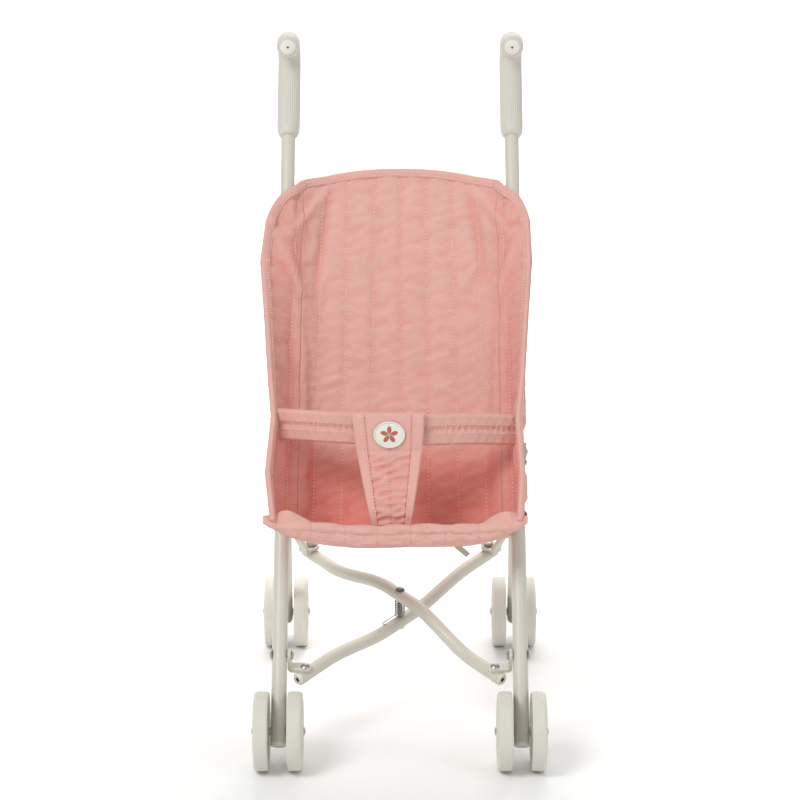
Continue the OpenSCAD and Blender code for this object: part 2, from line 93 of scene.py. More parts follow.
pin_left = joint_at("fold")
pin_right = joint_at("right_front_turn")
brace_mid = joint_at("brace_cross")
brace_half = np.linalg.norm(brace_mid - pin_left)

# %% [markdown]
# ## Helpers that put numpy surfaces into meshes
# A shape is an array of points with two directions, along and around. One helper turns such an array
# into a closed mesh, another makes a padded slab from a front and a back surface.

# %% Mesh helpers


def finish_mesh(name, points, faces, material, uv=None, tone=None):
    """Makes an object from points and faces, recalculates its normals outwards and shades it smooth.

    It also takes, from 0 to 1 at each point, how much painted shade darkens the colour."""
    mesh = bpy.data.meshes.new(name)
    mesh.from_pydata(points.reshape(-1, 3).tolist(), [], faces)
    mesh.validate()
    if uv is not None:
        layer = mesh.uv_layers.new(name="cloth")
        loops = np.zeros(len(mesh.loops), np.int32)
        mesh.loops.foreach_get("vertex_index", loops)
        layer.data.foreach_set("uv", uv.reshape(-1, 2)[loops].astype(np.float32).ravel())
    work = bmesh.new()
    work.from_mesh(mesh)
    bmesh.ops.recalc_face_normals(work, faces=work.faces)
    work.to_mesh(mesh)
    work.free()
    if tone is not None:
        layer = mesh.attributes.new("tone", "FLOAT", "POINT")
        layer.data.foreach_set("value", tone.astype(np.float32).ravel())
    mesh.shade_smooth()
    mesh.materials.append(material)
    piece = bpy.data.objects.new(name, mesh)
    bpy.context.scene.collection.objects.link(piece)
    return piece


def grid_faces(rows, cols, wrap=False, first=0):
    """The quads of a rows by cols grid of points, joined round to the first column if wrap is true."""
    i, j = np.meshgrid(np.arange(rows - 1), np.arange(cols if wrap else cols - 1), indexing="ij")
    k = (j + 1) % cols
    quads = np.stack([i * cols + j, i * cols + k, (i + 1) * cols + k, (i + 1) * cols + j], -1)
    return (quads.reshape(-1, 4) + first).tolist()


def tube_mesh(name, rings, material, uv=None, tone=None):
    """A closed solid from rings of points, shape (rings, around, 3), with a fan over each end."""
    rows, cols = rings.shape[:2]
    ends = np.stack([rings[0].mean(0), rings[-1].mean(0)])
    points = np.concatenate([rings.reshape(-1, 3), ends])
    near, far = rows * cols, rows * cols + 1
    fans = [[near, (j + 1) % cols, j] for j in range(cols)]
    fans += [[far, (rows - 1) * cols + j, (rows - 1) * cols + (j + 1) % cols] for j in range(cols)]
    if uv is not None:
        uv = np.concatenate([uv.reshape(-1, 2), uv[0, :1], uv[-1, :1]])
    return finish_mesh(name, points, grid_faces(rows, cols, wrap=True) + fans, material, uv, tone)


def ring_mesh(name, rings, material, uv=None):
    """A closed band from rings of points whose last ring joins the first, as on a wheel."""
    rows, cols = rings.shape[:2]
    closed = np.concatenate([rings, rings[:1]])
    faces = np.array(grid_faces(rows + 1, cols, wrap=True)) % (rows * cols)
    return finish_mesh(name, closed[:-1], faces.tolist(), material, uv)


def slab_mesh(name, front, back, material, uv, tone):
    """A closed padded sheet between a front and a back grid of the same shape."""
    rows, cols = front.shape[:2]
    count = rows * cols
    faces = grid_faces(rows, cols) + [f[::-1] for f in grid_faces(rows, cols, first=count)]
    index = np.arange(count).reshape(rows, cols)
    edge = np.concatenate([index[0], index[1:, -1], index[-1, -2::-1], index[-2:0:-1, 0]])
    after = np.roll(edge, -1)
    faces += np.stack([edge, edge + count, after + count, after], -1).tolist()
    points = np.concatenate([front.reshape(-1, 3), back.reshape(-1, 3)])
    # Painted shade goes on the front face only.
    tones = np.concatenate([tone.ravel(), 0 * tone.ravel()])
    return finish_mesh(name, points, faces, material, np.concatenate([uv.reshape(-1, 2)] * 2), tones)


def hollows(surface, resting, facing, reach=4):
    """How far each point lies below its neighbours' mean height, as 0 to 1 per millimetre."""
    height = ((surface - resting) * facing).sum(-1)
    mean = height
    for axis in (0, 1):
        padded = np.pad(mean, [(reach, reach) if i == axis else (0, 0) for i in range(2)], mode="edge")
        mean = sum(np.roll(padded, -k, axis)[tuple(
            slice(0, n) if i == axis else slice(None) for i, n in enumerate(mean.shape))]
            for k in range(2 * reach + 1)) / (2 * reach + 1)
    return np.clip((mean - height) / MM, 0, 1)


def unit(v):
    return v / np.maximum(np.linalg.norm(v, axis=-1, keepdims=True), 1e-12)


def path_frames(path, side):
    """Two directions square to a path at each point: one as near to side as can be, one across it."""
    along = unit(np.gradient(path, axis=0))
    first = unit(side - along * (along * side).sum(-1, keepdims=True))
    return first, np.cross(along, first)


def sweep(path, radius, side=(1.0, 0, 0), around=32):
    """Rings of a round tube along a path: centre + radius (cos(angle) side + sin(angle) across).

    The radius is one number, one for each point of the path, or one for each point of each ring."""
    first, second = path_frames(path, np.array(side, float))
    angle = np.linspace(0, 2 * np.pi, around, endpoint=False)
    radius = np.asarray(radius, float)
    if radius.ndim == 1:
        radius = radius[:, None]
    radius = np.broadcast_to(radius, (len(path), around))
    spokes = np.cos(angle)[:, None] * first[:, None] + np.sin(angle)[:, None] * second[:, None]
    return path[:, None] + radius[..., None] * spokes


def smooth(t):
    """A step from 0 to 1 with level ends: 3 t^2 - 2 t^3."""
    t = np.clip(t, 0, 1)
    return t * t * (3 - 2 * t)


print("helpers ready")

# %% [markdown]
# ## Finishes
# Each finish starts from what the real one is. Colours are given as sRGB hex and turned to linear
# light by one function. Pattern sizes are real sizes in millimetres.

# %% Node helper and colours


def linear(hex_colour):
    """Linear light from an sRGB hex colour: ((c + 0.055) / 1.055) ^ 2.4 above the toe."""
    c = np.array([int(hex_colour[i:i + 2], 16) / 255 for i in (1, 3, 5)])
    c = np.where(c <= 0.04045, c / 12.92, ((c + 0.055) / 1.055) ** 2.4)
    return (*c.tolist(), 1.0)


def add_node(tree, kind, settings=None, inputs=None):
    """Adds a node, sets its properties, and gives each input a value or a link."""
    made = tree.nodes.new(kind)
    for key, value in (settings or {}).items():
        setattr(made, key, value)
    for key, value in (inputs or {}).items():
        if isinstance(value, bpy.types.NodeSocket):
            tree.links.new(value, made.inputs[key])
        else:
            made.inputs[key].default_value = value
    return made


def new_material(name, **surface):
    """A material whose only shader is a Principled BSDF with these plain values."""
    material = bpy.data.materials.new(name)
    material.use_nodes = True
    shader = material.node_tree.nodes["Principled BSDF"]
    for key, value in surface.items():
        shader.inputs[key.replace("_", " ")].default_value = value
    return material, material.node_tree, shader


def grain(tree, shader, size_mm, depth_mm, detail=2.0):
    """Raises a fine random grain of a given size and depth through the shader's normal."""
    place = add_node(tree, "ShaderNodeTexCoord").outputs["Object"]
    noise = add_node(tree, "ShaderNodeTexNoise", inputs={
        "Vector": place, "Scale": 1 / (size_mm * MM), "Detail": detail})
    bump = add_node(tree, "ShaderNodeBump", inputs={
        "Height": noise.outputs["Fac"], "Distance": depth_mm * MM, "Strength": 0.6})
    tree.links.new(bump.outputs["Normal"], shader.inputs["Normal"])
    return bump


def two_tone(tree, shader, colour_a, colour_b, size_mm):
    """Drifts the base colour slowly between two near tones."""
    place = add_node(tree, "ShaderNodeTexCoord").outputs["Object"]
    noise = add_node(tree, "ShaderNodeTexNoise", inputs={
        "Vector": place, "Scale": 1 / (size_mm * MM), "Detail": 3.0})
    mix = add_node(tree, "ShaderNodeMix", {"data_type": "RGBA"}, {
        "Factor": noise.outputs["Fac"], "A": linear(colour_a), "B": linear(colour_b)})
    tree.links.new(mix.outputs["Result"], shader.inputs["Base Color"])


# %% [markdown]
# The tubes and brackets are steel with a baked powder coat: an even cream skin with a faint orange
# peel. Grips, wheels and plugs are moulded polypropylene, satin and very slightly translucent to the
# eye. Rivets, axles and the spring are zinc-plated steel.

# %% Hard finishes


def powder_coat():
    material, tree, shader = new_material("cream_powder_coat", Roughness=0.38)
    two_tone(tree, shader, "#cfccc0", "#c7c4b7", 45)
    grain(tree, shader, 0.9, 0.02)
    return material


def moulded(name, colour_a, colour_b, roughness):
    material, tree, shader = new_material(name, Roughness=roughness)
    two_tone(tree, shader, colour_a, colour_b, 25)
    grain(tree, shader, 0.6, 0.015)
    return material


def plated(name, colour, roughness):
    material, tree, shader = new_material(name, Metallic=1.0, Roughness=roughness)
    two_tone(tree, shader, colour, "#8d8b86", 6)
    grain(tree, shader, 0.35, 0.01)
    return material


coat = powder_coat()
grip_plastic = moulded("cream_polypropylene_grip", "#d0cec3", "#cac7bb", 0.5)
wheel_plastic = moulded("cream_polypropylene_wheel", "#d8d6cc", "#d1cfc4", 0.55)
plug_plastic = moulded("pale_polypropylene_plug", "#e6e4dc", "#dedcd2", 0.45)
# Painted shade: the inside of a hole, too deep for light to reach, is drawn in this near-black.
hole_shade, _, _ = new_material("dark_inside_of_a_hole", Base_Color=linear("#1d1a18"), Roughness=0.9)
zinc = plated("zinc_plated_steel", "#c2c1bd", 0.34)
dark_zinc = plated("dark_plated_steel", "#6d6963", 0.4)
print("hard finishes ready")

# %% [markdown]
# The seat is plain-woven cotton, dyed a dusty pink. Its threads are about 0.35 mm apart, too fine to
# show, so the weave is drawn at 0.8 mm. Cotton scatters light at grazing angles, which a little
# sheen gives. Shade in the folds and low in the seat, deepened as light bounces from pink to pink, is
# painted into the colour as a deeper pink.

# %% Cotton


def cotton(name, colour_a, colour_b, shade_colour, thread_mm=0.8, depth_mm=0.06):
    material, tree, shader = new_material(
        name, Roughness=0.88, Sheen_Weight=0.2, Sheen_Roughness=0.5, Sheen_Tint=linear("#f2d3cb"))
    shader.inputs["Specular IOR Level"].default_value = 0.2
    two_tone(tree, shader, colour_a, colour_b, 14)
    faded = shader.inputs["Base Color"].links[0].from_socket
    # Painted shade: a per-point attribute mixes the colour towards a deeper pink where shade falls.
    tone = add_node(tree, "ShaderNodeAttribute", {"attribute_name": "tone"}).outputs["Fac"]
    shaded = add_node(tree, "ShaderNodeMix", {"data_type": "RGBA"}, {"Factor": tone})
    tree.links.new(faded, shaded.inputs["A"])
    shaded.inputs["B"].default_value = linear(shade_colour)
    tree.links.new(shaded.outputs["Result"], shader.inputs["Base Color"])
    cloth = add_node(tree, "ShaderNodeUVMap", {"uv_map": "cloth"}).outputs["UV"]
    threads = []
    for direction in ("X", "Y"):
        threads.append(add_node(tree, "ShaderNodeTexWave", {"bands_direction": direction}, {
            "Vector": cloth, "Scale": 0.314 / (thread_mm * MM), "Distortion": 0.6, "Detail": 1.0}))
    weave = add_node(tree, "ShaderNodeMath", {"operation": "ADD"})
    tree.links.new(threads[0].outputs["Fac"], weave.inputs[0])
    tree.links.new(threads[1].outputs["Fac"], weave.inputs[1])
    crumple = add_node(tree, "ShaderNodeTexNoise", inputs={
        "Vector": cloth, "Scale": 1 / (5 * MM), "Detail": 4.0, "Roughness": 0.55})
    small = add_node(tree, "ShaderNodeBump", inputs={
        "Height": weave.outputs["Value"], "Distance": depth_mm * MM, "Strength": 0.35})
    large = add_node(tree, "ShaderNodeBump", inputs={
        "Height": crumple.outputs["Fac"], "Distance": 0.9 * MM, "Strength": 0.5,
        "Normal": small.outputs["Normal"]})
    tree.links.new(large.outputs["Normal"], shader.inputs["Normal"])
    return material


# The third colour of each cotton is the deep pink that painted shade mixes in.
seat_cotton = cotton("dusty_pink_cotton", "#dfb1a7", "#d9a79c", "#dd574a")
edge_cotton = cotton("dusty_pink_binding", "#dfafa5", "#d8a499", "#dd574a")
belt_cotton = cotton("dusty_pink_belt_cotton", "#deb0a6", "#d8a499", "#dd574a")
thread, _, _ = new_material("pale_sewing_thread", Base_Color=linear("#f0cfc6"), Roughness=0.8)
rose_thread, _, _ = new_material("rose_sewing_thread", Base_Color=linear("#d79c90"), Roughness=0.8)
patch_cotton = cotton("cream_embroidery", "#e6e6dc", "#dedcd2", "#b9b5a6", 0.6)
red_thread, _, _ = new_material("terracotta_thread", Base_Color=linear("#b9624f"), Roughness=0.8)
sage_thread, _, _ = new_material("sage_thread", Base_Color=linear("#9fae9b"), Roughness=0.8)
web_cotton = cotton("grey_beige_webbing", "#c9c1b4", "#b7aea0", "#6f665c", 1.2, 0.2)
print("cloth finishes ready")

# %% [markdown]
# ## The CAD pieces that stay
# Tubes, legs, brackets, rivets, axles and plugs are right as they are, so each only gets its finish.

# %% Finish the CAD pieces


def dress(material, *names):
    for name in names:
        node = frame["nodes"][name]
        node.data.materials.clear()
        node.data.materials.append(material)


sides = {"left": -1, "right": 1}
for side in sides:
    dress(coat, f"main_tube_{side}", f"rear_leg_{side}", f"hinge_bracket_{side}", f"front_bracket_{side}",
          f"rear_bracket_{side}", f"seat_rail_{side}")
    dress(plug_plastic, f"tube_plug_{side}", f"leg_plug_{side}")
    dress(zinc, f"front_axle_{side}", f"rear_axle_{side}", f"hinge_rivets_{side}",
          f"front_bracket_rivet_{side}", f"rear_bracket_rivet_{side}")
    dress(dark_zinc, f"rail_screw_{side}")
dress(dark_zinc, "brace_pivot_pin")
dress(zinc, "brace_end_pins_upper", "brace_end_pins_lower")
dress(plug_plastic, "brace_plugs_upper", "brace_plugs_lower")
print("CAD pieces dressed")

# %% [markdown]
# ## Grips
# A grip is one moulding: a ribbed sleeve that turns forward into a crook. Its path is a straight, an
# arc and a short straight, and its radius is a circle with fine lengthwise ribs that fade at the foot.

# %% Grips
grip_r = (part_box("grip_left")[1][0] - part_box("grip_left")[0][0]) / 2
grip_start = 526 * MM
grip_straight = 66 * MM
crook_r = 16 * MM
crook_turn = math.radians(135)
crook_end = 11 * MM
rib_count = 30
rib_depth = 0.45 * MM


def grip_path(side):
    """A straight up the tube, then an arc about a centre ahead of it, then a short straight."""
    straight = near_tube(side * half_w, 0, np.linspace(grip_start, grip_start + grip_straight, 34))
    turn = np.linspace(0, crook_turn, 40)[1:]
    centre = near_tube(side * half_w, -crook_r, grip_start + grip_straight)
    arc = centre + crook_r * (np.cos(turn)[:, None] * behind + np.sin(turn)[:, None] * up)
    way = -math.sin(crook_turn) * behind + math.cos(crook_turn) * up
    tail = arc[-1] + np.linspace(0, crook_end, 8)[1:, None] * way
    return np.concatenate([straight, arc, tail]), way


for name, side in sides.items():
    path, way = grip_path(side)
    along = np.concatenate([[0], np.cumsum(np.linalg.norm(np.diff(path, axis=0), axis=1))])
    # The foot has a plain collar that narrows to the tube, and the crook's end is rounded over.
    left = along[-1] - along
    outline = grip_r - 2.4 * MM * (1 - smooth(along / (3 * MM))) - 0.5 * MM * (along < 8 * MM)
    outline -= 1.5 * MM * (1 - np.sqrt(1 - (1 - np.clip(left / (1.5 * MM), 0, 1)) ** 2))
    angle = np.linspace(0, 2 * np.pi, rib_count * 6, endpoint=False)
    fade = smooth((along - 8 * MM) / (2 * MM)) * smooth(left / (4 * MM))
    ribs = rib_depth * (np.abs(np.cos(rib_count * angle / 2)) - 1)
    radius = outline[:, None] + fade[:, None] * ribs
    piece = tube_mesh(f"ribbed_grip_{name}", sweep(path, radius, around=len(angle)), grip_plastic)
    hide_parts(f"grip_{name}")
    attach(piece, f"{name}_frame")

    # The end cap is a shallow dome with a moulding hole in its middle, drawn as a dark plug of painted shade.
    cap_r = 6.6 * MM
    reach = np.linspace(0, 1, 24)
    cap_path = path[-1] + way * (0.1 + 1.1 * (1 - reach[:, None] ** 2) - 0.9 * (reach[:, None] < 0.14)) * MM
    around = np.linspace(0, 2 * np.pi, 48, endpoint=False)
    across = np.cross(way, [1.0, 0, 0])
    spokes = np.cos(around)[:, None] * np.array([1.0, 0, 0]) + np.sin(around)[:, None] * across
    face = cap_path[:, None] + (reach * cap_r)[:, None, None] * spokes
    rim = path[-1] - 0.5 * MM * way + cap_r * spokes
    cap = tube_mesh(f"crook_cap_{name}", np.concatenate([face[1:], rim[None]]), plug_plastic)
    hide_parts(f"grip_cap_{name}")
    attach(cap, f"{name}_frame")
    hole = tube_mesh(f"crook_cap_hole_{name}", sweep(
        path[-1] + np.linspace(0, 0.55, 4)[:, None] * MM * way, 0.9 * MM, around=20), hole_shade)
    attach(hole, f"{name}_frame")
print("grips ready")

# %% [markdown]
# ## Wheels
# A wheel is a lathe shape: a profile of radius and offset turned about the axle. The tread has fine
# grooves round it. Between hub and rim the side is sunk into six windows with spokes between them,
# which is a depth that depends on the angle.

# %% Wheels
wheel_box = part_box("front_wheel_left_outer")
wheel_r = (wheel_box[1][2] - wheel_box[0][2]) / 2
tread = 12 * MM
hub_proud = 1.2 * MM
groove_count = 8
groove_depth = 0.22 * MM
spoke_count = 6
window_depth = 2.4 * MM


def wheel_rings(centre, out):
    """Rings of (radius, offset) about X. Offset runs from the tube side to the outer side."""
    lane = np.linspace(-1, 1, groove_count * 8 + 1)
    crown = wheel_r - 0.9 * MM * np.abs(lane) ** 6
    crown = crown - groove_depth * (1 - np.cos(np.pi * groove_count * (lane + 1))) / 2
    tread_pts = np.stack([crown, lane * (tread / 2 - 0.6 * MM)], -1)
    bore, half = 2.1 * MM, tread / 2
    outer = np.array([[wheel_r - 1.6 * MM, half], [wheel_r - 4 * MM, half + 0.25 * MM],
                      [wheel_r - 6 * MM, half],
                      [wheel_r - 7 * MM, half - 0.8 * MM], [wheel_r - 8 * MM, half - 1 * MM],
                      [20 * MM, half - 0.9 * MM], [16 * MM, half - 0.7 * MM], [12 * MM, half - 0.4 * MM],
                      [9.5 * MM, half - 0.2 * MM], [8.4 * MM, half + 0.4 * MM],
                      [7.2 * MM, half + hub_proud - 0.5 * MM], [6.2 * MM, half + hub_proud],
                      [bore + 0.6 * MM, half + hub_proud], [bore, half + hub_proud - 0.4 * MM]])
    inner = outer[::-1] * [1, -1]
    inner[:, 1] = np.maximum(inner[:, 1], -half + 0.5 * MM)
    sunk_outer = np.interp(outer[:, 0], np.array([10, 12, 21.5, 23.5]) * MM, [0, 1, 1, 0])
    sunk = np.concatenate([sunk_outer[::-1], np.zeros(len(tread_pts)), sunk_outer])
    profile = np.concatenate([inner, tread_pts, outer])
    angle = np.linspace(0, 2 * np.pi, 144, endpoint=False)
    window = smooth((0.62 - np.abs(np.cos(spoke_count * angle / 2 + np.pi / 2))) / 0.2)
    offset = profile[:, 1] - np.sign(profile[:, 1]) * window_depth * sunk * (1 - window[:, None])
    circle = np.stack([np.zeros(len(angle)), np.cos(angle), np.sin(angle)], -1)
    rings = profile[None, :, :1] * circle[:, None]
    rings[..., 0] += out * offset
    return centre + rings


for end, body in (("front", "frame"), ("rear", "rear_leg")):
    for name, side in sides.items():
        for place, way in (("outer", 1), ("inner", -1)):
            node = f"{end}_wheel_{name}_{place}"
            rings = wheel_rings(joint_at(f"{node}_spin"), side * way)
            piece = ring_mesh(f"moulded_{node}", rings, wheel_plastic)
            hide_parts(node)
            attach(piece, node)
print("eight wheels ready")

# %% [markdown]
# ## Cross brace and its spring
# The two brace tubes lie in one sloping plane and bow away from each other at the middle, which
# leaves room for the torsion spring on the pivot pin. The spring is a helix that ends in a straight
# leg with a small hook, lying along the lower tube.

# %% Brace tubes and spring
plane_n = unit(np.array(joints["fold"]["axis"], float))
brace_r = 5.5 * MM
past_pin = 8 * MM
socket_r = 2.02 * MM


def brace_path(front_pin, bow):
    """Straight from pin to pin, with a rise of bow x smooth((92 - distance) / 78) over its middle."""
    way = unit(brace_mid - front_pin)
    y = np.linspace(-brace_half - past_pin, brace_half + past_pin, 120)
    lift = bow * smooth((92 * MM - np.abs(y)) / (78 * MM))
    return brace_mid + y[:, None] * way + lift[:, None] * plane_n


for name, front_pin, bow in (("upper", pin_right, 17.5 * MM), ("lower", pin_left, -10 * MM)):
    path = brace_path(front_pin, bow)
    piece = tube_mesh(f"bowed_tube_{name}", sweep(path, brace_r, side=plane_n, around=48), coat)
    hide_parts(f"brace_{name}")
    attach(piece, f"{name}_brace")

# The plug in each tube end has a deep round socket, which looks black from outside; its inside is a dark sleeve of
# painted shade.
for name, front_pin in (("upper", pin_right), ("lower", pin_left)):
    for end, pin in (("front", front_pin), ("rear", 2 * brace_mid - front_pin)):
        out = unit(pin - brace_mid)
        face = pin + out * past_pin
        socket_path = face + np.linspace(-1.2, 0.75, 6)[:, None] * MM * out
        socket = tube_mesh(f"plug_socket_{name}_{end}",
                           sweep(socket_path, socket_r, side=plane_n, around=32), hole_shade)
        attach(socket, f"{name}_brace")

coil_r, wire_r, coil_turns = 4.0 * MM, 0.5 * MM, 7
coil_low, coil_high = -3.9 * MM, 11.3 * MM
lower_way = unit(brace_mid - pin_left)
lower_across = np.cross(plane_n, lower_way)


def in_lower_brace(points):
    """From the lower tube's own axes, across, along and up, to the row's."""
    return brace_mid + points @ np.stack([lower_across, lower_way, plane_n])


turn = np.linspace(0, 2 * np.pi * coil_turns, coil_turns * 28)
helix = np.stack([coil_r * np.cos(turn), coil_r * np.sin(turn),
                  coil_low + (coil_high - coil_low) * turn / turn[-1]], -1)
leg_y = np.linspace(-17, -0.5, 16) * MM
leg = np.stack([np.full(16, coil_r), leg_y, np.full(16, coil_low)], -1)
hook_turn = np.linspace(np.pi, 0.2, 9)
hook = np.stack([coil_r - 1.6 * MM + 1.6 * MM * np.cos(hook_turn), leg_y[0] - 1.6 * MM * np.sin(hook_turn),
                 np.full(9, coil_low)], -1)
wire = in_lower_brace(np.concatenate([hook, leg, helix]))
spring = tube_mesh("torsion_spring_wire", sweep(wire, wire_r, side=plane_n, around=12), zinc)
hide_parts("brace_spring")
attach(spring, "lower_brace")
print("brace ready")

# %% [markdown]
# ## The seat shell
# The back and both side wings are one quilted cotton panel, hung between the leaning tubes like a
# shallow bucket. It could be modelled flat and draped, but its outline is known, so it is drawn as a
# surface of two numbers: the distance a across the cloth and the rise s up the tubes. The cloth
# simulation then only has to make the puffs and puckers.

# %% Outline of the shell
crease_rise = 168 * MM
shoulder_rise = 440 * MM
arch_height = 61.5 * MM
panel_half = 127 * MM
stitch_pitch = 25 * MM
hammock_x = np.array([0, 18, 35, 50, 60, 68, 75, 80, 85, 89, 93]) * MM
hammock_low = np.array([15, 14.9, 14.2, 12.8, 10.6, 7, 1.8, -3.5, -9.5, -14.5, -19]) * MM
hammock_high = np.array([15, 14.9, 14.4, 13.4, 12, 10.2, 7.5, 5, 1.2, -3, -8]) * MM
hammock_arc = np.concatenate([[0], np.cumsum(np.hypot(np.diff(hammock_x), np.diff(hammock_low)))])
split_at = float(np.interp(85 * MM, hammock_x, hammock_arc))


def arch_rise(a):
    """Top edge: shoulder + arch height x (1 - (|a| / half)^2.2)^(1 / 2.2)."""
    return shoulder_rise + arch_height * (1 - np.clip(np.abs(a) / panel_half, 0, 1) ** 2.2) ** (1 / 2.2)


def foot_of(a):
    """Bottom edge: level across the back, then 10 mm lower towards the front of each wing."""
    return crease_rise - 10 * MM * np.clip((np.abs(a) - 60 * MM) / (67 * MM), 0, 1)


def wing_edge(side, s):
    """Where the wing's front edge lies at rise s, as x and distance behind the tubes."""
    knots = np.array([158, 200, 250, 285, 345, 400, 440, 462, 480]) * MM
    left = np.array([102, 107, 103.5, 107, 112, 117.5, 114, 108, 103]) * MM
    right = np.array([96, 99, 96.5, 101, 105.5, 110.5, 110, 106, 101]) * MM
    x = np.where(side < 0, np.interp(s, knots, left), np.interp(s, knots, right))
    return x, -np.interp(s, np.array([158, 168, 461, 480]) * MM, np.array([65, 64.6, 13.7, 8]) * MM)


def shell_point(a, s):
    """The cloth's resting place: a hammock section out to the tubes, then a wing that bows outwards."""
    side, far = np.sign(a), np.abs(a)
    edge_x, edge_b = wing_edge(side, s)
    climb = np.clip((s - crease_rise) / (330 * MM), 0, 1)
    shape = smooth(climb * 1.1)
    last_b = hammock_low[-1] + (hammock_high[-1] - hammock_low[-1]) * shape
    reach = np.hypot(edge_x - hammock_x[-1], edge_b - last_b)
    drawn_in = 1 - 0.1 * climb
    arc = np.where(far < 75 * MM, far * drawn_in,
                   np.where(far < split_at, split_at - (split_at - far) / (split_at - 75 * MM)
                            * (split_at - 75 * MM * drawn_in),
                            split_at + (far - split_at) / (panel_half - split_at)
                            * (hammock_arc[-1] - split_at + reach)))
    on_hammock = np.minimum(arc, hammock_arc[-1])
    x = np.interp(on_hammock, hammock_arc, hammock_x)
    b = (1 - shape) * np.interp(on_hammock, hammock_arc, hammock_low)
    b = b + shape * np.interp(on_hammock, hammock_arc, hammock_high)
    out = np.clip((arc - hammock_arc[-1]) / reach, 0, 1)
    x = x + out * (edge_x - hammock_x[-1]) + 2.5 * MM * np.sin(np.pi * out)
    b = b + out * (edge_b - last_b)
    # A hanging panel sags backwards a little between its top and bottom hems.
    b = b + 4 * MM * np.sin(np.pi * climb) * np.cos(np.clip(arc / hammock_arc[-1], 0, 1) * np.pi / 2)
    return near_tube(side * x, b, s)


cols, rows = 181, 165
across = panel_half * np.sin(np.linspace(-1, 1, cols) * np.pi / 2)
quilt_lines = stitch_pitch * np.arange(-4, 5)
for line in np.concatenate([quilt_lines, [-split_at, split_at]]):
    across[np.argmin(np.abs(across - line))] = line
stitched = [int(np.argmin(np.abs(across - line))) for line in quilt_lines]
split_left, split_right = (int(np.argmin(np.abs(across - x))) for x in (-split_at, split_at))
v = np.linspace(0, 1, rows)[:, None]
rise = foot_of(across) + (arch_rise(across) - foot_of(across)) * v
shell = shell_point(np.broadcast_to(across, rise.shape), rise)
for _ in range(4):
    shell[:, 1:-1] = (shell[:, :-2] + 2 * shell[:, 1:-1] + shell[:, 2:]) / 4
cloth_uv = np.stack([np.broadcast_to(across, rise.shape), rise], -1)
print("shell grid", shell.shape[:2], "stitch columns", stitched)

# %% [markdown]
# ## Puffs and puckers
# Wadding lifts the cloth between the stitch lines, and the thread draws each line in, so the cloth
# gathers into small cross puckers. A first swelling is given by a formula; then the cloth grows by
# about one per cent in the simulation while the stitch lines stay put, and the extra cloth buckles.

# %% Swelling between the lines


def grid_normals(points):
    """Unit normals of a grid, facing the front of the stroller."""
    normal = unit(np.cross(np.gradient(points, axis=1), np.gradient(points, axis=0)))
    return normal * np.sign((normal * -behind).sum(-1).mean())


def waves(u, w, seed, pitch, count=5):
    """A sum of a few waves of nearly the same pitch whose directions lean a little either way."""
    rng = np.random.default_rng(seed)
    total = np.zeros(np.broadcast(u, w).shape)
    for _ in range(count):
        length = pitch * rng.uniform(0.7, 1.5)
        lean = rng.uniform(-0.55, 0.55)
        total = total + np.cos(2 * np.pi * (w + lean * u) / length + rng.uniform(0, 2 * np.pi))
    return total / count


normals = grid_normals(shell)
phase = np.abs(across) / stitch_pitch
between = np.abs(np.sin(np.pi * np.minimum(phase, 4.62)))[None, :]
edge_fade = smooth(v / 0.02) * smooth((1 - v) / 0.03) * smooth((panel_half - np.abs(across)) / (6 * MM))
pucker = waves(across[None, :], rise, 11, 15 * MM, 7)
sharp = np.sign(pucker) * np.abs(pucker) ** 0.8
calm = 1 - 0.7 * smooth((np.abs(across) - 70 * MM) / (12 * MM))
beside = np.exp(-((between - 0.45) / 0.35) ** 2)
fine = waves(across[None, :], rise, 17, 6.5 * MM, 7)
swell = edge_fade * (0.95 * MM * between ** 0.7 + 0.62 * MM * calm * sharp * between ** 0.4
                     + 0.3 * MM * fine * beside)


def crease(a_start, s_start, a_end, s_end, height, width):
    """A fold along a line on the cloth, a ridge that fades out at both ends."""
    start, run = np.array([a_start, s_start]), np.array([a_end - a_start, s_end - s_start])
    away = cloth_uv - start
    t = np.clip((away @ run) / (run @ run), 0, 1)
    gap = np.linalg.norm(away - t[..., None] * run, axis=-1)
    return height * np.exp(-(gap / width) ** 2) * np.sin(np.pi * np.clip(t, 0.03, 0.97)) ** 0.6


folds = [(-66, 486, -80, 380, -3.4, 5), (-68, 484, -104, 432, 3.2, 5), (-112, 425, -90, 372, 2.6, 4),
         (-108, 400, -97, 290, -2.8, 5), (-118, 370, -106, 200, 2.4, 4), (-90, 340, -84, 210, 2.0, 4),
         (-101, 330, -99, 180, -2.2, 4), (-84, 300, -78, 190, -2.0, 5), (-112, 250, -118, 170, -2.4, 4),
         (66, 486, 82, 385, -3.4, 5), (70, 482, 106, 432, 3.2, 5), (114, 428, 92, 374, 2.4, 4),
         (108, 390, 98, 280, -2.8, 5), (116, 345, 107, 195, 2.2, 4), (91, 350, 84, 230, 2.0, 4),
         (100, 320, 101, 180, -2.2, 4), (84, 300, 79, 190, -2.0, 5), (113, 240, 119, 170, -2.4, 4),
         (28, 452, 60, 458, 1.9, 3), (-60, 374, -34, 366, 1.5, 3), (50, 378, 76, 412, 2.2, 4),
         (-52, 332, -26, 320, 1.5, 3), (22, 322, 48, 330, 1.7, 3), (-20, 280, 12, 284, 1.2, 3),
         (-48, 418, -22, 408, 1.3, 3), (2, 392, 24, 386, 1.2, 3), (-24, 352, 2, 346, 1.2, 3),
         (28, 300, 50, 292, 1.3, 3), (-72, 300, -50, 306, 1.4, 3), (52, 268, 74, 274, 1.3, 3),
         (-46, 270, -26, 264, 1.3, 3), (-22, 440, 0, 446, 1.0, 3), (30, 420, 48, 404, 1.5, 3)]
